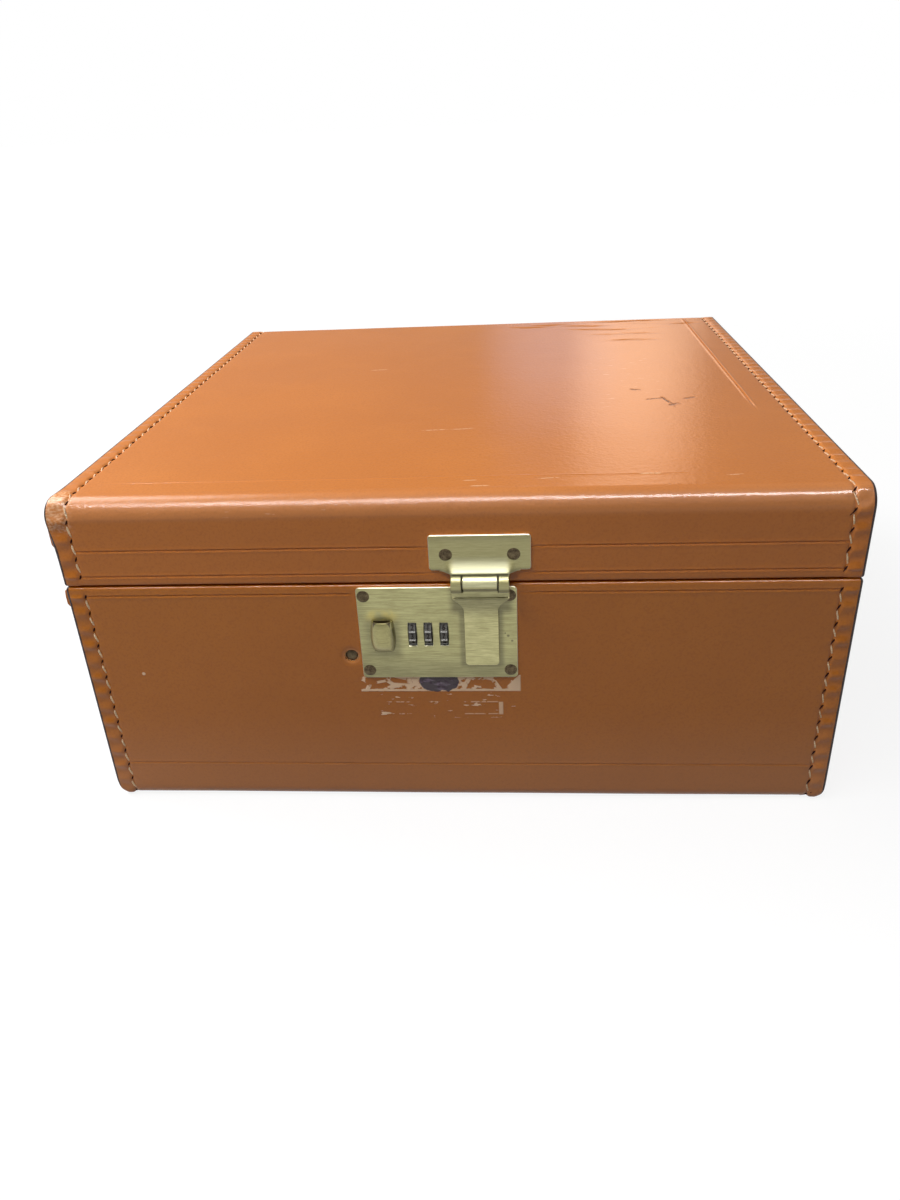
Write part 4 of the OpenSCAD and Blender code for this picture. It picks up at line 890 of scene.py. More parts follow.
def stitch_tree() -> NodeSketch:
    """Builds the tree that sews a row of slots and slanting threads along a path.

    Returns:
        The tree; its path lies on the leather and X is the side's own axis.
    """
    s = NodeSketch("saddle_stitches", {
        "Stitches": "NodeSocketInt", "Slot Length": "NodeSocketFloat", "Slot Width": "NodeSocketFloat",
        "Slot Lean": "NodeSocketFloat", "Thread Length": "NodeSocketFloat",
        "Thread Radius": "NodeSocketFloat", "Thread Lean": "NodeSocketFloat",
        "Seed": "NodeSocketInt", "Slot Finish": "NodeSocketMaterial",
        "Thread Finish": "NodeSocketMaterial"})
    curve = s.node("GeometryNodeMeshToCurve", {"Mesh": s.given("Path")}).outputs[0]
    places = s.sum("ADD", s.sum("MULTIPLY", s.given("Stitches"), 2.0), 1.0)
    curve = s.node("GeometryNodeResampleCurve", {"Curve": curve, "Count": places}).outputs[0]
    tangent = s.node("GeometryNodeInputTangent").outputs[0]
    outward = s.node("ShaderNodeVectorMath", {0: (1.0, 0.0, 0.0), 1: tangent},
                     operation="CROSS_PRODUCT").outputs[0]
    facing = s.node("FunctionNodeAxesToRotation", {0: outward, 1: tangent},
                    primary_axis="Z", secondary_axis="X").outputs[0]
    index = s.node("GeometryNodeInputIndex").outputs[0]
    odd = s.sum("MODULO", index, 2.0)
    even = s.sum("SUBTRACT", 1.0, odd)

    def vary(low: float, high: float, step: int) -> Socket:
        """Gives an even spread of values, one for each stitch."""
        made = s.node("FunctionNodeRandomValue", data_type="FLOAT")
        made.inputs[2].default_value, made.inputs[3].default_value = low, high
        s.tree.links.new(s.sum("ADD", s.given("Seed"), float(step)), made.inputs["Seed"])
        return made.outputs[1]

    def place(shape: Socket, chosen: Socket, lean: Socket, finish: Socket, step: int) -> Socket:
        """Sets a shape at the chosen places and gives it its finish."""
        lean = s.sum("ADD", lean, vary(-0.09, 0.09, step))
        turned = s.node("FunctionNodeRotateRotation", rotation_space="LOCAL")
        s.tree.links.new(facing, turned.inputs[0])
        spin = s.node("FunctionNodeEulerToRotation", {0: s.vector(0.0, 0.0, lean)}).outputs[0]
        s.tree.links.new(spin, turned.inputs[1])
        size = vary(0.9, 1.1, step + 1)
        put = s.node("GeometryNodeInstanceOnPoints", {
            "Points": curve, "Selection": chosen, "Instance": shape, "Rotation": turned.outputs[0],
            "Scale": s.vector(size, 1.0, 1.0)}).outputs[0]
        real = s.node("GeometryNodeRealizeInstances", {0: put}).outputs[0]
        return s.node("GeometryNodeSetMaterial", {"Geometry": real, "Material": finish}).outputs[0]

    ball = s.node("GeometryNodeMeshUVSphere", {"Segments": 10, "Rings": 6, "Radius": 0.5}).outputs[0]
    # The slots are flat dark lenses laid on the leather: painted shade of the awl holes.
    slot = s.node("GeometryNodeTransform", {
        "Geometry": ball, "Scale": s.vector(s.given("Slot Length"), s.given("Slot Width"), 0.0009)}).outputs[0]
    half = s.sum("MULTIPLY", s.given("Thread Length"), 0.5)
    rise = s.sum("MULTIPLY", s.given("Thread Radius"), 2.6)
    sink = s.sum("MULTIPLY", s.given("Thread Radius"), -1.7)
    arc = s.node("GeometryNodeCurveQuadraticBezier", {
        "Resolution": 6, "Start": s.vector(s.sum("MULTIPLY", half, -1.0), 0.0, sink),
        "Middle": s.vector(0.0, 0.0, rise), "End": s.vector(half, 0.0, sink)}).outputs[0]
    run = s.node("GeometryNodeSplineParameter").outputs["Factor"]
    arc = s.node("GeometryNodeStoreNamedAttribute", {"Geometry": arc, "Name": "run", "Value": run},
                 data_type="FLOAT", domain="POINT").outputs[0]
    ring = s.node("GeometryNodeCurvePrimitiveCircle", {"Resolution": 7, "Radius": s.given("Thread Radius")},
                  mode="RADIUS").outputs[0]
    ring = s.node("GeometryNodeStoreNamedAttribute", {"Geometry": ring, "Name": "around", "Value": run},
                  data_type="FLOAT", domain="POINT").outputs[0]
    cord = s.node("GeometryNodeCurveToMesh", {"Curve": arc, "Profile Curve": ring, "Fill Caps": True}).outputs[0]
    cord = s.node("GeometryNodeSetShadeSmooth", {0: cord}).outputs[0]
    both = s.node("GeometryNodeJoinGeometry")
    for made in (place(cord, odd, s.given("Thread Lean"), s.given("Thread Finish"), 3),
                 place(slot, even, s.given("Slot Lean"), s.given("Slot Finish"), 7)):
        s.tree.links.new(made, both.inputs[0])
    s.tree.links.new(both.outputs[0], s.end.inputs[0])
    return s


def cord_tree() -> NodeSketch:
    """Builds the tree that lays a covered cord along a path."""
    s = NodeSketch("piping", {"Radius": "NodeSocketFloat", "Finish": "NodeSocketMaterial"})
    curve = s.node("GeometryNodeMeshToCurve", {"Mesh": s.given("Path")}).outputs[0]
    ring = s.node("GeometryNodeCurvePrimitiveCircle", {"Resolution": 8, "Radius": s.given("Radius")},
                  mode="RADIUS").outputs[0]
    made = s.node("GeometryNodeCurveToMesh", {"Curve": curve, "Profile Curve": ring}).outputs[0]
    made = s.node("GeometryNodeRealizeInstances", {0: made}).outputs[0]
    made = s.node("GeometryNodeSetShadeSmooth", {0: made}).outputs[0]
    made = s.node("GeometryNodeSetMaterial", {"Geometry": made, "Material": s.given("Finish")}).outputs[0]
    s.tree.links.new(made, s.end.inputs[0])
    return s


# ---------------------------------------------------------------- sub-assemblies

@dataclass
class Outline:
    """The outer path of a wrap in Y and Z, walked from one rim to the other."""

    corners: tuple[tuple[float, float, float], ...]
    lines: tuple[tuple[float, float], ...] = ()
    spacing: float = 1.1
    around_line: tuple[float, ...] = (0.25, 0.5, 0.8, 1.15, 1.6)

    def __post_init__(self) -> None:
        """Walks the path and keeps its points, outward normals and lengths."""
        points, normals = [], []
        spots = [np.array(c[:2], float) for c in self.corners]
        starts = [spots[0]]
        for before, (here, radius), after in zip(spots, [(s, c[2]) for s, c in zip(spots, self.corners)][1:-1], spots[2:]):
            u = (here - before) / np.linalg.norm(here - before)
            v = (after - here) / np.linalg.norm(after - here)
            self.straight(points, normals, starts[-1], here - u * radius)
            middle = here - u * radius + v * radius
            for turn in np.linspace(0, math.pi / 2, max(4, round(radius * 1.4)))[1:-1]:
                out = -v * math.cos(turn) + u * math.sin(turn)
                points.append(middle + out * radius)
                normals.append(out)
            starts.append(here + v * radius)
        self.straight(points, normals, starts[-1], spots[-1])
        self.points, self.normals = np.array(points), np.array(normals)
        steps = np.linalg.norm(np.diff(self.points, axis=0), axis=1)
        self.lengths = np.concatenate([[0], np.cumsum(steps)])

    def straight(self, points: list, normals: list, start: np.ndarray, end: np.ndarray) -> None:
        """Adds the rows of one straight stretch, closer together at pressed lines."""
        run = float(np.linalg.norm(end - start))
        along = (end - start) / run
        out = np.array([along[1], -along[0]]) * self.turning()
        rows = set(np.linspace(0, run, max(2, round(run / self.spacing) + 1)))
        for line in self.lines:
            at = float(np.dot(np.array(line) - start, along))
            if np.linalg.norm(start + along * at - line) < 1e-6 and 2 < at < run - 2:
                close = [at + side * step for step in self.around_line for side in (-1, 1)] + [at]
                rows = {r for r in rows if abs(r - at) > 2.0 or r in (0, run)} | set(close)
        for row in sorted(rows):
            points.append(start + along * row)
            normals.append(out)

    def turning(self) -> float:
        """Is 1 when the path runs clockwise in Y and Z as seen from +X, else -1."""
        spots = np.array([c[:2] for c in self.corners])
        shoelace = np.dot(spots[:-1, 0], spots[1:, 1]) - np.dot(spots[1:, 0], spots[:-1, 1])
        return 1.0 if shoelace > 0 else -1.0

    def length_at(self, y: float, z: float) -> float:
        """Gives the length walked when the path passes nearest to a place."""
        away = np.linalg.norm(self.points - np.array([y, z]), axis=1)
        return float(self.lengths[int(np.argmin(away))])


@dataclass
class Crease:
    """A line pressed in the leather, straight along X at a place in Y and Z."""

    y: float
    z: float
    x0: float
    x1: float
    depth: float = 0.42
    lip: float = 0.16


@dataclass
class Shell:
    """One leather covered half of the case: its wrap, end panels and stitching."""

    part: str
    body: str
    corners: tuple[tuple[float, float, float], ...]
    creases: tuple[Crease, ...]
    sewn_from: tuple[float, float]
    sewn_to: tuple[float, float]
    pitch: float
    panel_low: float
    panel_high: float
    low_radius: float
    high_radius: float
    rim_is_top: bool
    bulge: tuple[float, float]
    worn_corners: tuple[tuple[int, float, float, float, float], ...]
    guarded: tuple[tuple[float, float, float, float, float], ...]
    side_line: tuple[float, float, float] | None = None
    wrinkles: tuple[tuple[float, float, float], ...] = ()
    half_w: float = 200.0
    thickness: float = 1.8
    stitch_in: float = 9.5
    half_room: float = 199.7
    finishes: Finishes = field(default_factory=Finishes)

    def build(self) -> None:
        """Builds and dresses every piece of this half."""
        self.outline = Outline(self.corners, tuple((c.y, c.z) for c in self.creases))
        self.first = self.outline.length_at(*self.sewn_from)
        self.last = self.outline.length_at(*self.sewn_to)
        self.count = round((self.last - self.first) / self.pitch)
        self.make_wrap()
        for side in (-1, 1):
            self.make_end(side)
            self.make_stitches(side)

    def hide(self) -> bpy.types.Material:
        """Gives the wrap's leather."""
        return self.finishes.lid_hide if self.part == "lid" else self.finishes.base_hide

    def lift(self, x: np.ndarray) -> np.ndarray:
        """Gives how far the leather stands out of the CAD face, row by row.

        Args:
            x: Places of the columns.

        Returns:
            The lift in millimetres, by row and column.
        """
        out = self.outline
        y, z, s = out.points[:, :1], out.points[:, 1:], out.lengths[:, None]
        end = self.half_w - np.abs(x)[None, :]
        seed = 3.7 if self.part == "lid" else 11.3
        waves = np.array([[noise.noise(Vector((c / 70, r / 55, seed))) for c in x] for r in out.lengths])
        rise = 0.16 * waves * ease(end, 9, 30)
        sewn = ease(s, self.first - 3, self.first + 1) * (1 - ease(s, self.last - 1, self.last + 3))
        phase = (s - self.first) / (self.last - self.first) * self.count
        ridge = 1 - 2 * np.abs(np.sin(math.pi * phase)) ** 1.3
        puff = np.sin(math.pi * np.clip(end / self.stitch_in, 0, 1)) ** 0.7
        window = ease(end, 0.5, 4.5) * (1 - ease(end, 7.6, 9.2))
        groove = np.exp(-((end - self.stitch_in) / 0.8) ** 2)
        outside = np.exp(-((end - self.stitch_in - 2.4) / 1.5) ** 2)
        upright = 0.3 + 0.7 * ease(np.abs(y), 198, 206)
        pull = 1 + 0.35 * np.sin(phase * 2.4 + 1.3)
        rise = rise + sewn * (0.45 * puff + 0.7 * ridge * window * upright * pull - 0.6 * groove
                              + 0.16 * outside * ridge * upright)
        rise = rise + (1 - sewn) * 0.3 * puff
        for line in self.creases:
            away = np.hypot(y - line.y, z - line.z)
            fade = 20 if line.z > 180 else 3
            span = ease(x[None, :], line.x0 - 1, line.x0 + 3) * (1 - ease(x[None, :], line.x1 - fade, line.x1 + 1))
            pressed = -line.depth * np.exp(-(away / 0.36) ** 2) + line.lip * np.exp(-((away - 0.95) / 0.4) ** 2)
            rise = rise + pressed * span
        if self.side_line:
            at, y0, y1 = self.side_line
            away = np.abs(x[None, :] - at)
            pressed = -0.5 * np.exp(-(away / 0.42) ** 2) + 0.25 * np.exp(-((away - 1.0) / 0.45) ** 2)
            rise = rise + pressed * ease(y, y0, y0 + 45) * (1 - ease(y, y1 - 3, y1)) * ease(z, 180, 182)
        for at, x0, x1 in self.wrinkles:
            span = ease(x[None, :], x0, x0 + 20) * (1 - ease(x[None, :], x1 - 20, x1))
            drift = np.array([[noise.noise(Vector((c / 23, at / 9, 0.5))), noise.noise(Vector((c / 12, at / 7, 4.5)))]
                              for c in x]).T[:, None, :]
            dip = 0.85 * ease(drift[1], -0.35, 0.25)
            rise = rise - dip * np.exp(-((y - at - 7 * drift[0]) / 1.2) ** 2) * span * ease(z, 181, 183)
        for x0, x1, z0, z1, side in self.guarded:
            cover = (ease(x[None, :], x0 - 5, x0 - 1) * (1 - ease(x[None, :], x1 + 1, x1 + 5))
                     * ease(z, z0 - 4, z0 - 1) * (1 - ease(z, z1 + 1, z1 + 4)) * (side * y > 200))
            rise = np.where(cover > 0, rise * (1 - cover) - 0.03 * cover, rise)
        return rise

    def columns(self) -> np.ndarray:
        """Gives the places of the columns, close together at the bands and the side line."""
        ends = [0, 0.2, 0.5, 0.9, 1.5, 2.3, 3.3, 4.3, 5.3, 6.3, 7.2, 8.0, 8.6, 9.1, 9.5, 9.9, 10.4,
                11.0, 11.8, 12.8, 14.2, 16.5, 20]
        middle = list(np.arange(30, 200, 9.0))
        half = [self.half_w - e for e in ends + middle]
        x = set(half) | {-v for v in half} | {0.0}
        if self.side_line:
            near = [self.side_line[0] + d for d in (-3, -2, -1.5, -1.1, -0.75, -0.4, 0, 0.4, 0.75, 1.1, 1.5, 2, 3)]
            x = {v for v in x if abs(v - self.side_line[0]) > 3.5} | set(near)
        if self.part == "base":
            x |= set(np.arange(-61.5, -47.5, 1.0))
        return np.array(sorted(x))

    def make_wrap(self) -> None:
        """Lays the hide over front, top or bottom, and back, in one closed skin."""
        out, x = self.outline, self.columns()
        end = self.half_w - np.abs(x)
        rounding = np.where(end < 0.9, 0.9 - np.sqrt(np.maximum(0, 0.81 - (0.9 - end) ** 2)), 0)
        rise = self.lift(x) - rounding[None, :]
        if self.part == "base":
            y, z = out.points[:, :1], out.points[:, 1:]
            away = np.hypot(x[None, :] + 54.45, z - 94.2)
            rise = rise - 0.75 * (1 - ease(away, 3.6, 6.2)) * (y < -200)
        inner_x = np.array([200, 150, 50, -50, -150, -200.0])
        depth = np.minimum(1.8, 1.35 + 0.45 * ease(np.minimum(out.lengths, out.lengths[-1] - out.lengths), 9, 13))
        loops = []
        for i, ((y, z), (ny, nz)) in enumerate(zip(out.points, out.normals)):
            shift = self.inset(x, out.lengths[i])
            outer = np.column_stack([x - shift, y + ny * rise[i], z + nz * rise[i]])
            inner = np.column_stack([inner_x, np.full(6, y - ny * depth[i]), np.full(6, z - nz * depth[i])])
            inner[0, 0] -= self.inset(np.array([200.0]), out.lengths[i])[0]
            inner[-1, 0] -= self.inset(np.array([-200.0]), out.lengths[i])[0]
            loops.append(np.vstack([outer, inner]))
        piece = skin(f"{self.part}_wrap_hide", np.array(loops))
        if self.part == "base":
            low, high = box_mm("lock_case")
            carve(piece, solid_box(low - Vector((0.3, 3, 0.3)), high + Vector((0.3, 0.3, 0.3))))
            carve(piece, round_bar(Vector((-54.45, -215, 94.2)), Vector((0, 11, 0)), 3.75, 40))
        dress(shade(piece, 50), self.hide(), self.body, "leather", f"{self.part}_wrap")

    def inset(self, x: np.ndarray, s: float) -> np.ndarray:
        """Gives how far a worn corner's edge is drawn in along X."""
        shift = np.zeros_like(x)
        for side, y, z, reach, wide in self.worn_corners:
            at = self.outline.length_at(y, z)
            share = np.clip(1 - (self.half_w - np.abs(x)) / 9, 0, 1) * (np.sign(x) == side)
            shift += side * reach * math.exp(-((s - at) / wide) ** 2) * share
        return shift

    def make_end(self, side: int) -> None:
        """Makes an end panel with its turned lip.

        Args:
            side: -1 for the left end and 1 for the right one.
        """
        half_d, low, high = 207.5 - self.thickness, self.panel_low, self.panel_high
        ring = self.rounded_ring(half_d, low, high, self.low_radius, self.high_radius)
        middle = np.array([0, (low + high) / 2])
        face_x, back_x = self.half_w - 0.4, self.half_w - 0.4 - self.thickness
        rim = high if self.rim_is_top else low
        loops = [np.column_stack([np.full(len(ring), back_x * side), ring])]
        for inset in (0.0, 0.3, 0.8, 1.6, 3, 5, 8, 12, 17, 22):
            scale = np.array([1 - inset / half_d, 1 - inset / ((high - low) / 2)])
            flat = middle + (ring - middle) * np.maximum(scale, 0.02)
            edge = 0.45 * (1 - ease(inset, 0, 1.2)) * ease(np.abs(ring[:, 1] - rim), 1, 3)
            soft = 0.3 * ease(inset, 0.5, 9)
            near = np.exp(-((flat[:, 0] + 204.6) / 4.2) ** 2)
            z0, z1 = self.bulge
            hump = 3.0 * near * ease(flat[:, 1], z0, z0 + 4) * (1 - ease(flat[:, 1], z1 - 4, z1)) if side < 0 else 0
            loops.append(np.column_stack([side * (face_x - edge + soft + hump), flat]))
        panel = skin(f"{self.part}_end", np.array(loops))
        step = 1 if self.rim_is_top else -1
        lip = [(back_x - 6, rim), (back_x - 6, rim + step * 1.8)]
        lip += [(face_x - 1.4 + 1.4 * math.sin(a), rim + step * (0.4 + 1.4 * math.cos(a)))
                for a in np.linspace(0, math.pi / 2, 6)] + [(face_x, rim)]
        run = [[(px * side, y, pz) for px, pz in lip] for y in np.linspace(-self.half_room, self.half_room, 40)]
        name = "left" if side < 0 else "right"
        piece = join(f"{self.part}_end_{name}_hide", [panel, skin("lip", np.array(run))])
        dress(shade(piece, 50), self.finishes.end_hide, self.body, "leather", f"{self.part}_end_{name}")

    @staticmethod
    def rounded_ring(half_d: float, low: float, high: float, low_r: float, high_r: float) -> np.ndarray:
        """Gives a closed ring in Y and Z with its own radius for lower and upper corners."""
        points = []
        for cy, cz, r, start in ((half_d, low, low_r, -90), (half_d, high, high_r, 0),
                                 (-half_d, high, high_r, 90), (-half_d, low, low_r, 180)):
            my, mz = cy - math.copysign(r, cy), cz + (r if cz == low else -r)
            points += [(my + r * math.cos(math.radians(a)), mz + r * math.sin(math.radians(a)))
                       for a in np.linspace(start, start + 90, 8)]
        ring = np.array(points)
        dense = []
        for a, b in zip(ring, np.roll(ring, -1, axis=0)):
            steps = max(1, round(float(np.linalg.norm(b - a)) / 4))
            dense += [a + (b - a) * k / steps for k in range(steps)]
        return np.array(dense)

    def make_stitches(self, side: int) -> None:
        """Sews one end's row of stitches.

        Args:
            side: -1 for the left end and 1 for the right one.
        """
        out = self.outline
        x = side * (self.half_w - self.stitch_in)
        rise = self.lift(np.array([x]))[:, 0]
        sewn = (out.lengths >= self.first - 1e-6) & (out.lengths <= self.last + 1e-6)
        flat = out.points + out.normals * (rise + 0.16)[:, None]
        path = np.column_stack([np.full(len(flat), x), flat])[sewn]
        if self.part == "base":
            path = path[::-1]
        name, slack, lean, radius = (("left", 0.0034, -30, 0.00054) if side < 0
                                     else ("right", 0.0076, -36, 0.00042))
        piece = stitch_tree().run(path_piece(f"{self.part}_stitches_{name}", path), {
            "Stitches": self.count, "Slot Length": slack, "Slot Width": 0.0009,
            "Slot Lean": math.radians(lean), "Thread Length": 0.0072, "Thread Radius": radius,
            "Thread Lean": math.radians(16), "Seed": 5 + side, "Slot Finish": self.finishes.slot,
            "Thread Finish": self.finishes.thread})
        dress(piece, None, self.body, "thread")


def brushing(piece: bpy.types.Object) -> bpy.types.Object:
    """Maps a piece so that its highlights spread across a brushing that runs along X."""
    mesh = piece.data
    layer = mesh.uv_layers.get("brushing") or mesh.uv_layers.new(name="brushing")
    for loop in mesh.loops:
        x, y, z = mesh.vertices[loop.vertex_index].co
        layer.data[loop.index].uv = ((z - y) * 20, x * 20)
    return piece


def dress(piece: bpy.types.Object, material: bpy.types.Material | None, body: str, slot: str,
          *nodes: str) -> bpy.types.Object:
    """Gives a piece its finish and its body, and hides the CAD nodes it stands for.

    Args:
        piece: The piece.
        material: Its only material, or None to keep those it has.
        body: CAD body that it moves with.
        slot: Not used.
        nodes: CAD nodes that it replaces.

    Returns:
        The same piece.
    """
    if material is not None:
        piece.data.materials.clear()
        piece.data.materials.append(material)
    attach(piece, body)
    if nodes:
        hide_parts(*nodes)
    log.info("%s: %d faces, rides %s%s", piece.name, len(piece.data.polygons), body,
             f", stands for {', '.join(nodes)}" if nodes else "")
    return piece


@dataclass
class Fittings:
    """The brass fittings: lock plate, hasp, bracket and back hinges."""

    nodes: dict[str, bpy.types.Object]
    finishes: Finishes

    def soften(self, node: str, name: str, width: float,
               cut: tuple[tuple, tuple] | None = None) -> bpy.types.Object:
        """Copies a CAD node with its sharp edges rounded over.

        Args:
            node: The CAD node.
            name: Name of the copy.
            width: Width of the rounding in millimetres.
            cut: Corners of a box that is cut away first.

        Returns:
            The copy, in place.
        """
        piece = bpy.data.objects.new(name, self.nodes[node].data.copy())
        bpy.context.scene.collection.objects.link(piece)
        work = bmesh.new()
        work.from_mesh(piece.data)
        bmesh.ops.remove_doubles(work, verts=work.verts, dist=2e-6)
        bmesh.ops.dissolve_limit(work, angle_limit=math.radians(0.8), verts=work.verts, edges=work.edges)
        work.to_mesh(piece.data)
        work.free()
        if cut:
            carve(piece, solid_box(*cut))
        bevel = piece.modifiers.new("rounding", "BEVEL")
        bevel.width, bevel.segments = width * MM, 3
        bevel.limit_method, bevel.angle_limit = "ANGLE", math.radians(35)
        bevel.use_clamp_overlap = False
        return brushing(even(shade(bake(piece), 34)))

    def build(self) -> None:
        """Rounds the edges of every brass fitting and dresses it."""
        dress(self.soften("lock_plate", "lock_plate_brass", 0.55), self.finishes.plate_brass,
              "base", "brass", "lock_plate")
        plate = self.soften("hasp_bracket", "bracket", 0.7, ((-0.6, -215, 143.72), (29.8, -209.0, 151.2)))
        bracket = even(shade(join("hasp_bracket_brass", [plate, self.neck()]), 34))
        dress(brushing(bracket), self.finishes.bracket_brass, "lid", "brass", "hasp_bracket")
        dress(self.soften("hasp", "hasp_brass", 0.45), self.finishes.hasp_brass, "hasp", "brass", "hasp")
        for side in ("left", "right"):
            for half, body in (("base", "base"), ("lid", "lid")):
                node = f"hinge_{half}_leaf_{side}"
                dress(self.soften(node, f"{node}_brass", 0.35), self.finishes.brass, body, "brass", node)

    @staticmethod
    def neck() -> bpy.types.Object:
        """Makes the neck that swells out of the bracket's plate over its knuckles.

        Returns:
            The neck, closed, in place.
        """
        middle, plate_y, top, brow, under, swell = 14.6, -209.0, 151.6, 144.8, 143.74, 4.0
        loops = []
        for x in np.linspace(-5.4, 34.6, 61):
            share = 1 - float(ease(abs(x - middle), 13.0, 20.0))
            low = under + 1.1 * (1 - share)
            front = [(top - (top - brow) * s, (swell + 0.06) * share * s ** 1.6 - 0.06)
                     for s in np.linspace(0, 1, 22)]
            deep = front[-1][1]
            front += [(brow - 0.3, deep + 0.13 * share), (brow - 0.6, deep + 0.06 * share),
                      (low + 0.12, deep - 0.14 * share), (low, deep - 0.45 * share)]
            back = [(low, -0.7), (top, -0.7)]
            loops.append([(x, plate_y - out, z) for z, out in front + back])
        return skin("neck", np.array(loops))


@dataclass
class ThumbSlide:
    """The formed thumb hood with its foot, stem and tail."""

    finishes: Finishes
    wall: float = 1.0
    sections: tuple[tuple[float, float, float], ...] = (
        (0.0, 4.4, 0.7), (0.4, 4.9, 1.2), (1.1, 5.3, 1.9), (2.1, 5.7, 2.9), (3.4, 6.05, 3.8),
        (5.2, 6.35, 4.5), (7.5, 6.5, 4.85), (10.5, 6.45, 4.95), (13.5, 6.2, 4.75),
        (15.8, 5.9, 4.35), (17.4, 5.65, 3.9), (18.2, 5.5, 3.55), (18.4, 5.4, 3.35))

    def arch(self, half_w: float, height: float, foot_y: float, middle: float, z: float) -> list:
        """Gives one boxy arch over the foot plane, closed along it."""
        points = []
        for turn in np.linspace(0, math.pi, 25):
            across = math.copysign(abs(math.cos(turn)) ** 0.92, math.cos(turn)) * half_w
            points.append((middle + across, foot_y - height * math.sin(turn) ** 1.0, z))
        return points

    def build(self) -> None:
        """Builds the hood as a cup open at the top."""
        low, high = box_mm("thumb_hood")
        middle, z0 = (low.x + high.x) / 2, low.z
        foot_y = -207.5 - 1.35
        outer = [self.arch(w, h, foot_y, middle, z0 + up) for up, w, h in self.sections]
        inner = [self.arch(w - self.wall, h - self.wall * 1.5, foot_y - 0.6, middle, z0 + max(up, 2.2) - 0.05 * k)
                 for k, (up, w, h) in enumerate(reversed(self.sections[4:]))]
        hood = skin("hood", np.array(outer + inner))
        stem = solid_box((middle - 2.93, foot_y - 0.4, 103.5), (middle + 2.93, -207.2, 110.5))
        tail = round_bar(Vector((middle, foot_y, 107)), Vector((0, 3.2, 0)), 1.5)
        head = round_bar(Vector((middle, -206.0, 107)), Vector((0, 0.5, 0)), 2.6)
        piece = join("thumb_hood_brass", [hood, stem, tail, head])
        dress(brushing(shade(piece, 45)), self.finishes.hood_brass, "thumb_slide", "brass", "thumb_hood")


@dataclass
class Dials:
    """The figures on the ten flats of each number dial."""

    finishes: Finishes
    flat_r: float = 7.75
    figure_h: float = 3.1
    starts: tuple[int, int, int] = (3, 2, 7)

    def build(self) -> None:
        """Sets ten figures on each dial, upright to the front."""
        shapes = [self.figure(str(n)) for n in range(10)]
        for side, start in zip(("left", "middle", "right"), self.starts):
            low, high = box_mm(f"dial_{side}")
            axis = Vector((0, (low.y + high.y) / 2, (low.z + high.z) / 2))
            x = low.x + 1.7
            work = bmesh.new()
            reach = self.flat_r * math.cos(math.pi / 10) + 0.015
            for n in range(10):
                turn = Matrix.Rotation(math.radians(36 * (n - start)), 4, "X")
                put = Matrix.Translation((Vector((x, axis.y, axis.z))) * MM) @ turn @ Matrix.Translation(
                    Vector((0, -reach, 0)) * MM) @ Matrix.Rotation(math.pi / 2, 4, "X")
                mesh = shapes[n].copy()
                mesh.transform(put)
                work.from_mesh(mesh)
                bpy.data.meshes.remove(mesh)
            mesh = bpy.data.meshes.new(f"{side}_dial_figures")
            work.to_mesh(mesh)
            work.free()
            piece = bpy.data.objects.new(f"{side}_dial_figures", mesh)
            bpy.context.scene.collection.objects.link(piece)
            dress(piece, self.finishes.figure, f"{side}_dial", "nickel")
        for shape in shapes:
            bpy.data.meshes.remove(shape)

    def figure(self, text: str) -> bpy.types.Mesh:
        """Makes one figure as a thin flat mesh, centred on its own middle."""
        curve = bpy.data.curves.new(f"figure_{text}", "FONT")
        curve.body, curve.size, curve.extrude = text, self.figure_h * 1.35 * MM, 0.02 * MM
        curve.align_x, curve.align_y, curve.resolution_u = "CENTER", "CENTER", 3
        curve.offset = 0.06 * MM
        holder = bpy.data.objects.new(f"figure_{text}", curve)
        bpy.context.scene.collection.objects.link(holder)
        graph = bpy.context.evaluated_depsgraph_get()
        mesh = bpy.data.meshes.new_from_object(holder.evaluated_get(graph), depsgraph=graph)
        bpy.data.objects.remove(holder)
        co = np.array([v.co for v in mesh.vertices])
        middle = (co.min(0) + co.max(0)) / 2
        mesh.transform(Matrix.Diagonal((0.82, 1.0, 1.0, 1.0)) @ Matrix.Translation(-Vector(middle)))
        return mesh


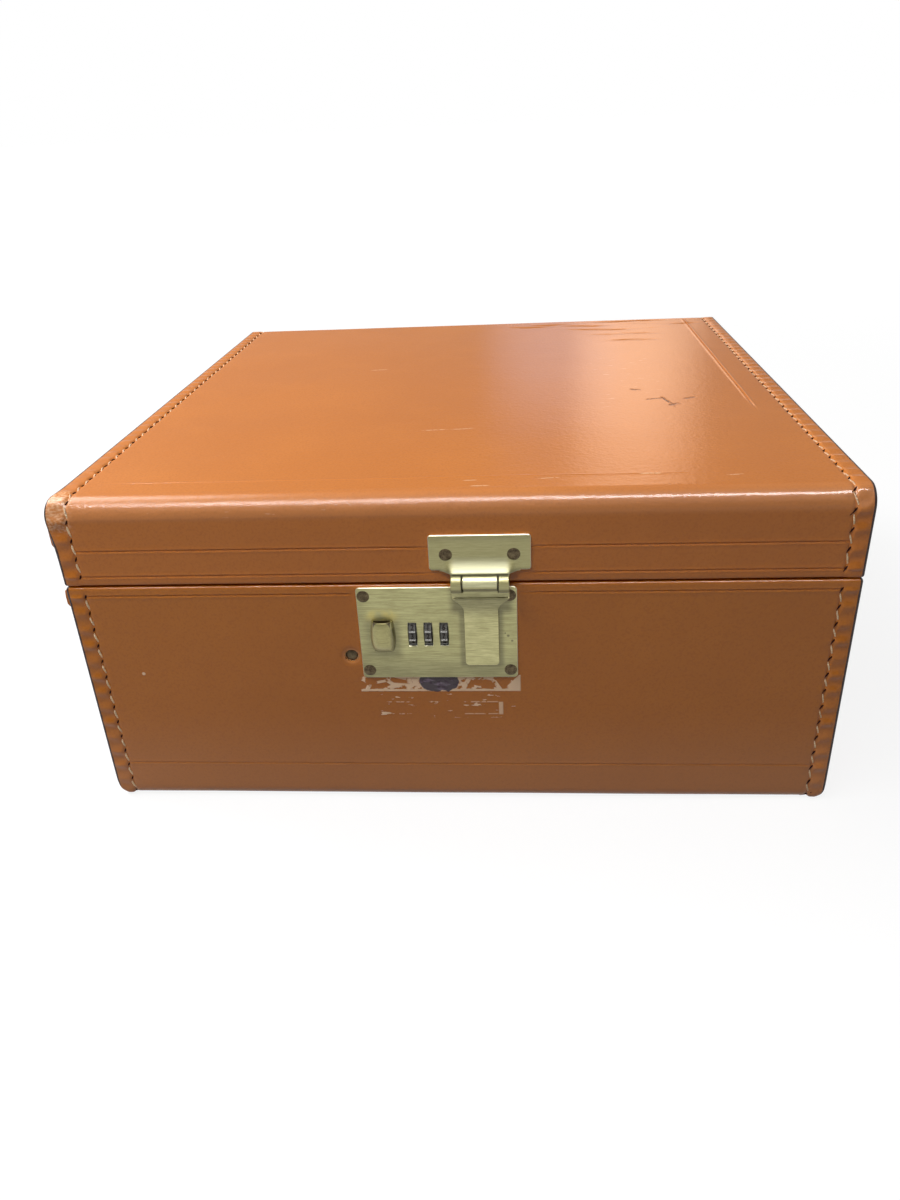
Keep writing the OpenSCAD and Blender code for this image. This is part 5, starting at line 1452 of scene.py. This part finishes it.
@dataclass
class LidPad:
    """The padded panel in the lid: quilted cloth that swells between its sewn lines."""

    finishes: Finishes
    fields: int = 4
    grid: float = 4.6
    cap: float = 2.4

    def build(self) -> None:
        """Builds the pad, lets it swell, and lays piping round it."""
        low, high = box_mm("lid_pad")
        cols = round((high.x - low.x - 2) / self.grid)
        rows = round((high.y - low.y - 2) / self.grid)
        xs = np.linspace(low.x + 1, high.x - 1, cols + 1)
        ys = np.linspace(low.y + 1, high.y - 1, rows + 1)
        face_z, back_z = low.z + 1.6, high.z - 0.1
        points, faces, pinned = [], [], []
        for layer, z in enumerate((face_z, back_z)):
            for j, y in enumerate(ys):
                for i, x in enumerate(xs):
                    seam = self.seam(x, y, low, high)
                    rim = min(i, cols - i, j, rows - j) == 0
                    points.append((x, y, z + (1.7 * math.exp(-(seam / 3.0) ** 2) if layer == 0 else 0)
                                   + (1.6 if rim and layer == 0 else 0)))
                    pinned.append(layer == 1 or rim or seam < self.grid * 0.55)
        size = (cols + 1) * (rows + 1)
        for layer in (0, 1):
            for j in range(rows):
                for i in range(cols):
                    a = layer * size + j * (cols + 1) + i
                    faces.append((a, a + 1, a + cols + 2, a + cols + 1))
        edge = ([(i, 0) for i in range(cols)] + [(cols, j) for j in range(rows)]
                + [(i, rows) for i in range(cols, 0, -1)] + [(0, j) for j in range(rows, 0, -1)])
        for (i, j), (k, m) in zip(edge, edge[1:] + edge[:1]):
            a, b = j * (cols + 1) + i, m * (cols + 1) + k
            faces.append((a, b, b + size, a + size))
        piece = make_piece("lid_pad_cloth", points, faces)
        self.swell(piece, [i for i, held in enumerate(pinned) if held])
        refine = piece.modifiers.new("refine", "SUBSURF")
        refine.levels = refine.render_levels = 1
        dress(shade(bake(piece), 60), self.finishes.pad_cloth, "lid", "lining", "lid_pad")
        ring = Shell.rounded_ring(1, 0, 1, 0.1, 0.1)
        ring = np.column_stack([low.x + 2.4 + (ring[:, 0] + 1) / 2 * (high.x - low.x - 4.8),
                                low.y + 2.4 + ring[:, 1] * (high.y - low.y - 4.8), np.full(len(ring), low.z + 2.9)])
        piping = cord_tree().run(path_piece("lid_pad_piping", ring, closed=True),
                                 {"Radius": 0.0014, "Finish": self.finishes.dark_hide})
        dress(piping, None, "lid", "dark_leather")

    def seam(self, x: float, y: float, low: Vector, high: Vector) -> float:
        """Gives the distance to the nearest quilting line, which run slantwise both ways."""
        wide = (high.x - low.x) / self.fields
        u, v = (x - low.x) + (y - low.y), (x - low.x) - (y - low.y)
        return min(abs((t / wide + 0.5) % 1 - 0.5) * wide for t in (u, v)) / math.sqrt(2)

    def swell(self, piece: bpy.types.Object, held: list[int]) -> None:
        """Blows the cloth up between its held points and caps how far it moves.

        Args:
            piece: The pad's mesh.
            held: Numbers of the points that stay where they are.
        """
        rest = np.array([v.co for v in piece.data.vertices])
        group = piece.vertex_groups.new(name="sewn")
        group.add(held, 1.0, "REPLACE")
        cloth = piece.modifiers.new("cloth", "CLOTH")
        cloth.settings.use_pressure = True
        cloth.settings.uniform_pressure_force = 4
        cloth.settings.vertex_group_mass = "sewn"
        cloth.settings.effector_weights.gravity = 0
        cloth.settings.quality = 4
        scene = bpy.context.scene
        for frame in range(1, 21):
            scene.frame_set(frame)
        graph = bpy.context.evaluated_depsgraph_get()
        grown = np.array([v.co for v in piece.evaluated_get(graph).data.vertices])
        piece.modifiers.clear()
        scene.frame_set(1)
        move = grown - rest
        size = np.linalg.norm(move, axis=1, keepdims=True)
        move *= np.minimum(1, self.cap * MM / np.maximum(size, 1e-9))
        piece.data.vertices.foreach_set("co", (rest + move).astype(np.float32).ravel())
        piece.data.update()


@dataclass
class InnerParts:
    """CAD nodes that keep their shape and only take a finish."""

    nodes: dict[str, bpy.types.Object]
    finishes: Finishes

    def build(self) -> None:
        """Gives each kept node its finish."""
        f = self.finishes
        chosen = {
            "base_carcass": f.plywood, "lid_carcass": f.plywood, "base_lining": f.cloth,
            "lid_lining": f.cloth, "inner_rim": f.dark_hide, "bottle_divider_left": f.dark_hide,
            "bottle_divider_right": f.dark_hide, "tumbler_front_divider": f.dark_hide,
            "tumbler_cross_divider": f.dark_hide, "tumbler_long_divider": f.dark_hide,
            "lock_plate_rivets": f.rivet, "front_rivet": f.rivet, "hasp_bracket_rivets": f.rivet,
            "hinge_base_rivets": f.rivet, "hinge_lid_rivets": f.rivet, "lock_case": f.steel,
            "dial_spindle": f.steel, "spindle_collar": f.steel, "detent_strip": f.steel,
            "latch_bar": f.steel, "hasp_catch": f.steel,
            "dial_left": f.nickel, "dial_middle": f.nickel, "dial_right": f.nickel,
            "hinge_pin_left": f.pin, "hinge_pin_right": f.pin, "hasp_pin": f.pin}
        for name, material in chosen.items():
            mesh = self.nodes[name].data
            mesh.materials.clear()
            mesh.materials.append(material)
            log.info("%s: keeps its CAD shape, finish %s", name, material.name)
        self.spring()

    def spring(self) -> None:
        """Copies the return spring as its own steel piece on the base."""
        piece = bpy.data.objects.new("return_spring_wire", self.nodes["return_spring"].data.copy())
        bpy.context.scene.collection.objects.link(piece)
        dress(piece, self.finishes.steel, "base", "steel", "return_spring")
        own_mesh(piece)


@dataclass
class Studio:
    """Floor, light and camera."""

    camera_place: tuple[float, float, float] = (0.0345, -0.6142, 0.3418)
    yaw: float = 4.994
    pitch: float = 27.718
    roll: float = -2.878
    lens: float = 27.43
    sky: float = 0.12
    walls: float = 0.33
    ceiling: float = 0.85

    def build(self) -> None:
        """Sets the floor, the world, the lamps and the camera."""
        self.floor()
        self.world()
        self.lamp("ceiling_softbox", (-0.9, 0.3, 1.1), (-0.05, 0.0, 0.15), (0.9, 0.8), 19)
        self.lamp("front_strip", (-0.42, -0.6, 1.05), (0.0, -0.2, 0.18), (0.9, 0.09), 7.8).visible_glossy = False
        for name, place, target, size, power, colour in (
                ("line_above", (0.0, -0.51, 1.13), (0.0, -0.2, 0.18), (1.35, 0.19), 26.0, (1.0, 0.97, 1.0)),
                ("window_behind", (0.37, 2.0, 0.8), (0.12, 0.05, 0.18), (0.41, 0.9), 3.6, (1.0, 0.66, 0.46)),
                ("haze_behind", (0.13, 2.0, 0.64), (0.0, 0.05, 0.18), (0.42, 0.5), 0.66, (0.62, 0.74, 1.0))):
            lamp = self.lamp(name, place, target, size, power, colour)
            lamp.visible_diffuse = False
            if name.endswith("behind"):
                self.feather(lamp.data)
        self.camera()

    def lamp(self, name: str, place: tuple, target: tuple, size: tuple[float, float], power: float,
             colour: tuple[float, float, float] = (1.0, 1.0, 1.0)) -> bpy.types.Object:
        """Hangs one soft area lamp aimed at a target and gives it back."""
        data = bpy.data.lights.new(name, "AREA")
        data.shape, data.size, data.size_y, data.energy = "RECTANGLE", *size, power
        data.color = colour
        lamp = bpy.data.objects.new(name, data)
        lamp.location = place
        lamp.rotation_euler = (Vector(target) - Vector(place)).to_track_quat("-Z", "Y").to_euler()
        bpy.context.scene.collection.objects.link(lamp)
        return lamp

    @staticmethod
    def feather(data: bpy.types.AreaLight) -> None:
        """Fades a lamp out from its middle to its edges."""
        data.use_nodes = True
        tree = data.node_tree
        spread, split = tree.nodes.new("ShaderNodeNewGeometry"), tree.nodes.new("ShaderNodeSeparateXYZ")
        tree.links.new(spread.outputs["Parametric"], split.inputs[0])
        total = None
        for axis in (0, 1):
            rest, bell = tree.nodes.new("ShaderNodeMath"), tree.nodes.new("ShaderNodeMath")
            rest.operation, rest.inputs[0].default_value, bell.operation = "SUBTRACT", 1.0, "MULTIPLY"
            tree.links.new(split.outputs[axis], rest.inputs[1])
            tree.links.new(split.outputs[axis], bell.inputs[0])
            tree.links.new(rest.outputs[0], bell.inputs[1])
            gain = tree.nodes.new("ShaderNodeMath")
            gain.operation, gain.inputs[1].default_value = "MULTIPLY", 4.0
            tree.links.new(bell.outputs[0], gain.inputs[0])
            if total:
                both = tree.nodes.new("ShaderNodeMath")
                both.operation = "MULTIPLY"
                tree.links.new(total, both.inputs[0])
                tree.links.new(gain.outputs[0], both.inputs[1])
                total = both.outputs[0]
            else:
                total = gain.outputs[0]
        glow = next(node for node in tree.nodes if node.type == "EMISSION")
        tree.links.new(total, glow.inputs["Strength"])

    @staticmethod
    def seen_rays(tree: bpy.types.NodeTree) -> Socket:
        """Is 1 for camera, glossy and transmission rays."""
        path = tree.nodes.new("ShaderNodeLightPath")
        total = path.outputs["Is Camera Ray"]
        for name in ("Is Glossy Ray", "Is Transmission Ray"):
            made = tree.nodes.new("ShaderNodeMath")
            made.operation = "MAXIMUM"
            tree.links.new(total, made.inputs[0])
            tree.links.new(path.outputs[name], made.inputs[1])
            total = made.outputs[0]
        return total

    def floor(self) -> None:
        """Lays a wide pale floor that keeps the case's shadow."""
        mesh = bpy.data.meshes.new("floor")
        mesh.from_pydata([(-60, -60, 0), (60, -60, 0), (60, 60, 0), (-60, 60, 0)], [], [(0, 1, 2, 3)])
        floor = bpy.data.objects.new("floor", mesh)
        bpy.context.scene.collection.objects.link(floor)
        material = bpy.data.materials.new("pale_floor")
        material.use_nodes = True
        tree = material.node_tree
        tree.nodes.clear()
        shown, lit, glow = (tree.nodes.new("ShaderNodeBsdfDiffuse"), tree.nodes.new("ShaderNodeBsdfDiffuse"),
                            tree.nodes.new("ShaderNodeEmission"))
        shown.inputs[0].default_value = (0.16, 0.16, 0.16, 1)
        lit.inputs[0].default_value = (0.26, 0.24, 0.22, 1)
        place, far, fade = (tree.nodes.new("ShaderNodeTexCoord"), tree.nodes.new("ShaderNodeVectorMath"),
                            tree.nodes.new("ShaderNodeMapRange"))
        far.operation = "LENGTH"
        tree.links.new(place.outputs["Object"], far.inputs[0])
        tree.links.new(far.outputs["Value"], fade.inputs["Value"])
        for key, value in (("From Min", 0.5), ("From Max", 2.0), ("To Min", 0.88), ("To Max", 1.0)):
            fade.inputs[key].default_value = value
        tree.links.new(fade.outputs[0], glow.inputs["Strength"])
        glow.inputs[0].default_value = (1, 1, 1, 1)
        seen, mix, out = (tree.nodes.new("ShaderNodeAddShader"), tree.nodes.new("ShaderNodeMixShader"),
                          tree.nodes.new("ShaderNodeOutputMaterial"))
        tree.links.new(shown.outputs[0], seen.inputs[0])
        tree.links.new(glow.outputs[0], seen.inputs[1])
        tree.links.new(self.seen_rays(tree), mix.inputs[0])
        tree.links.new(lit.outputs[0], mix.inputs[1])
        tree.links.new(seen.outputs[0], mix.inputs[2])
        tree.links.new(mix.outputs[0], out.inputs[0])
        mesh.materials.append(material)

    def world(self) -> None:
        """Makes the surroundings white to the eye and soft grey as light."""
        world = bpy.data.worlds.new("studio")
        bpy.context.scene.world = world
        world.use_nodes = True
        tree = world.node_tree
        tree.nodes.clear()
        light, white, mix, out = (tree.nodes.new("ShaderNodeBackground"), tree.nodes.new("ShaderNodeBackground"),
                                  tree.nodes.new("ShaderNodeMixShader"), tree.nodes.new("ShaderNodeOutputWorld"))
        light.inputs[0].default_value = (1, 1, 1, 1)
        light.inputs[1].default_value = self.sky
        white.inputs[0].default_value = (1, 1, 1, 1)
        white.inputs[1].default_value = 1.0
        self.dim_walls(tree, white.inputs[0])
        tree.links.new(self.seen_rays(tree), mix.inputs[0])
        tree.links.new(light.outputs[0], mix.inputs[1])
        tree.links.new(white.outputs[0], mix.inputs[2])
        tree.links.new(mix.outputs[0], out.inputs[0])

    def dim_walls(self, tree: bpy.types.NodeTree, colour: Socket) -> None:
        """Keeps the surroundings white to the eye, and lets walls above the horizon dim in reflections."""
        place = tree.nodes.new("ShaderNodeTexCoord")
        split, ramp = tree.nodes.new("ShaderNodeSeparateXYZ"), tree.nodes.new("ShaderNodeMapRange")
        tree.links.new(place.outputs["Generated"], split.inputs[0])
        tree.links.new(split.outputs[2], ramp.inputs["Value"])
        for key, value in (("From Min", 0.02), ("From Max", 0.17), ("To Min", 1.0), ("To Max", self.walls)):
            ramp.inputs[key].default_value = value
        above, most = tree.nodes.new("ShaderNodeMapRange"), tree.nodes.new("ShaderNodeMath")
        tree.links.new(split.outputs[2], above.inputs["Value"])
        for key, value in (("From Min", 0.36), ("From Max", 0.62), ("To Min", 0.0), ("To Max", self.ceiling)):
            above.inputs[key].default_value = value
        most.operation = "MAXIMUM"
        tree.links.new(ramp.outputs[0], most.inputs[0])
        tree.links.new(above.outputs[0], most.inputs[1])
        path, mix = tree.nodes.new("ShaderNodeLightPath"), tree.nodes.new("ShaderNodeMix")
        mix.data_type = "RGBA"
        tree.links.new(path.outputs["Is Camera Ray"], mix.inputs[0])
        tree.links.new(most.outputs[0], mix.inputs[6])
        mix.inputs[7].default_value = (1, 1, 1, 1)
        tree.links.new(mix.outputs[2], colour)

    def camera(self) -> None:
        """Sets the camera at the photograph's place and angle."""
        yaw, pitch, roll = (math.radians(v) for v in (self.yaw, self.pitch, self.roll))
        turn = Matrix.Rotation(yaw, 3, "Z")
        right = turn @ Vector((1, 0, 0))
        ahead = turn @ Vector((0, math.cos(pitch), -math.sin(pitch)))
        up = turn @ Vector((0, math.sin(pitch), math.cos(pitch)))
        right, up = (right * math.cos(roll) + up * math.sin(roll),
                     up * math.cos(roll) - right * math.sin(roll))
        data = bpy.data.cameras.new("camera")
        data.lens, data.sensor_width, data.sensor_fit = self.lens, 36.0, "AUTO"
        camera = bpy.data.objects.new("camera", data)
        frame = Matrix((right, up, -ahead)).transposed().to_4x4()
        frame.translation = self.camera_place
        camera.matrix_world = frame
        bpy.context.scene.collection.objects.link(camera)
        bpy.context.scene.camera = camera


def main() -> None:
    """Builds every sub-assembly of the case in order."""
    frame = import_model()
    nodes = frame["nodes"]
    finishes = Finishes()
    scene = bpy.context.scene
    scene.view_settings.view_transform = "Standard"
    front, end_x = -207.5, 190.5
    base = Shell(
        part="base", body="base", finishes=finishes,
        corners=((-199.7, 136.2, 0), (front, 136.2, 1.5), (front, 0, 7.2), (207.5, 0, 7.2),
                 (207.5, 136.2, 1.5), (199.7, 136.2, 0)),
        creases=(Crease(front, 131.1, -end_x, end_x), Crease(front, 24.3, -end_x, end_x, 0.3, 0.1)),
        sewn_from=(front, 131.1), sewn_to=(207.5, 131.1), pitch=9.8,
        panel_low=1.8, panel_high=134.4, low_radius=5.4, high_radius=0.2, rim_is_top=True,
        bulge=(122.5, 136.4), worn_corners=((-1, front + 2, 2, 2.0, 6), (1, front + 2, 2, 1.3, 5)),
        guarded=((-48.75, 32.75, 81.8, 135.1, -1), (-142.5, -97.5, 110.7, 140, 1), (97.5, 142.5, 110.7, 140, 1)))
    lid = Shell(
        part="lid", body="lid", finishes=finishes,
        corners=((-199.7, 137.2, 0), (front, 137.2, 1.5), (front, 183, 10.6), (207.5, 183, 10.6),
                 (207.5, 137.2, 1.5), (199.7, 137.2, 0)),
        creases=(Crease(front, 142.3, -end_x, end_x), Crease(front, 156.5, -end_x, end_x),
                 Crease(-181.5, 183, -174, 130, 0.13, 0.06)),
        sewn_from=(front, 142.3), sewn_to=(207.5, 142.3), pitch=10.2,
        panel_low=139.0, panel_high=181.2, low_radius=0.2, high_radius=8.8, rim_is_top=False,
        bulge=(155, 172), worn_corners=((-1, front + 2, 177, -1.7, 15),),
        guarded=((-10.55, 39.75, 141, 163.4, -1), (-142.5, -97.5, 137, 162.7, 1), (97.5, 142.5, 137, 162.7, 1)),
        side_line=(174.0, -82.5, 194.5),
        wrinkles=((142, 88, 148), (118, 98, 149), (165, 69, 175), (180, 20, 190), (190, 40, 180)))
    for part in (base, lid, Fittings(nodes, finishes), ThumbSlide(finishes), Dials(finishes),
                 LidPad(finishes), InnerParts(nodes, finishes), Studio()):
        log.info("building %s", type(part).__name__)
        part.build()


if __name__ == "__main__":
    logging.basicConfig(level=logging.INFO, format="%(message)s", stream=sys.stdout)
    main()
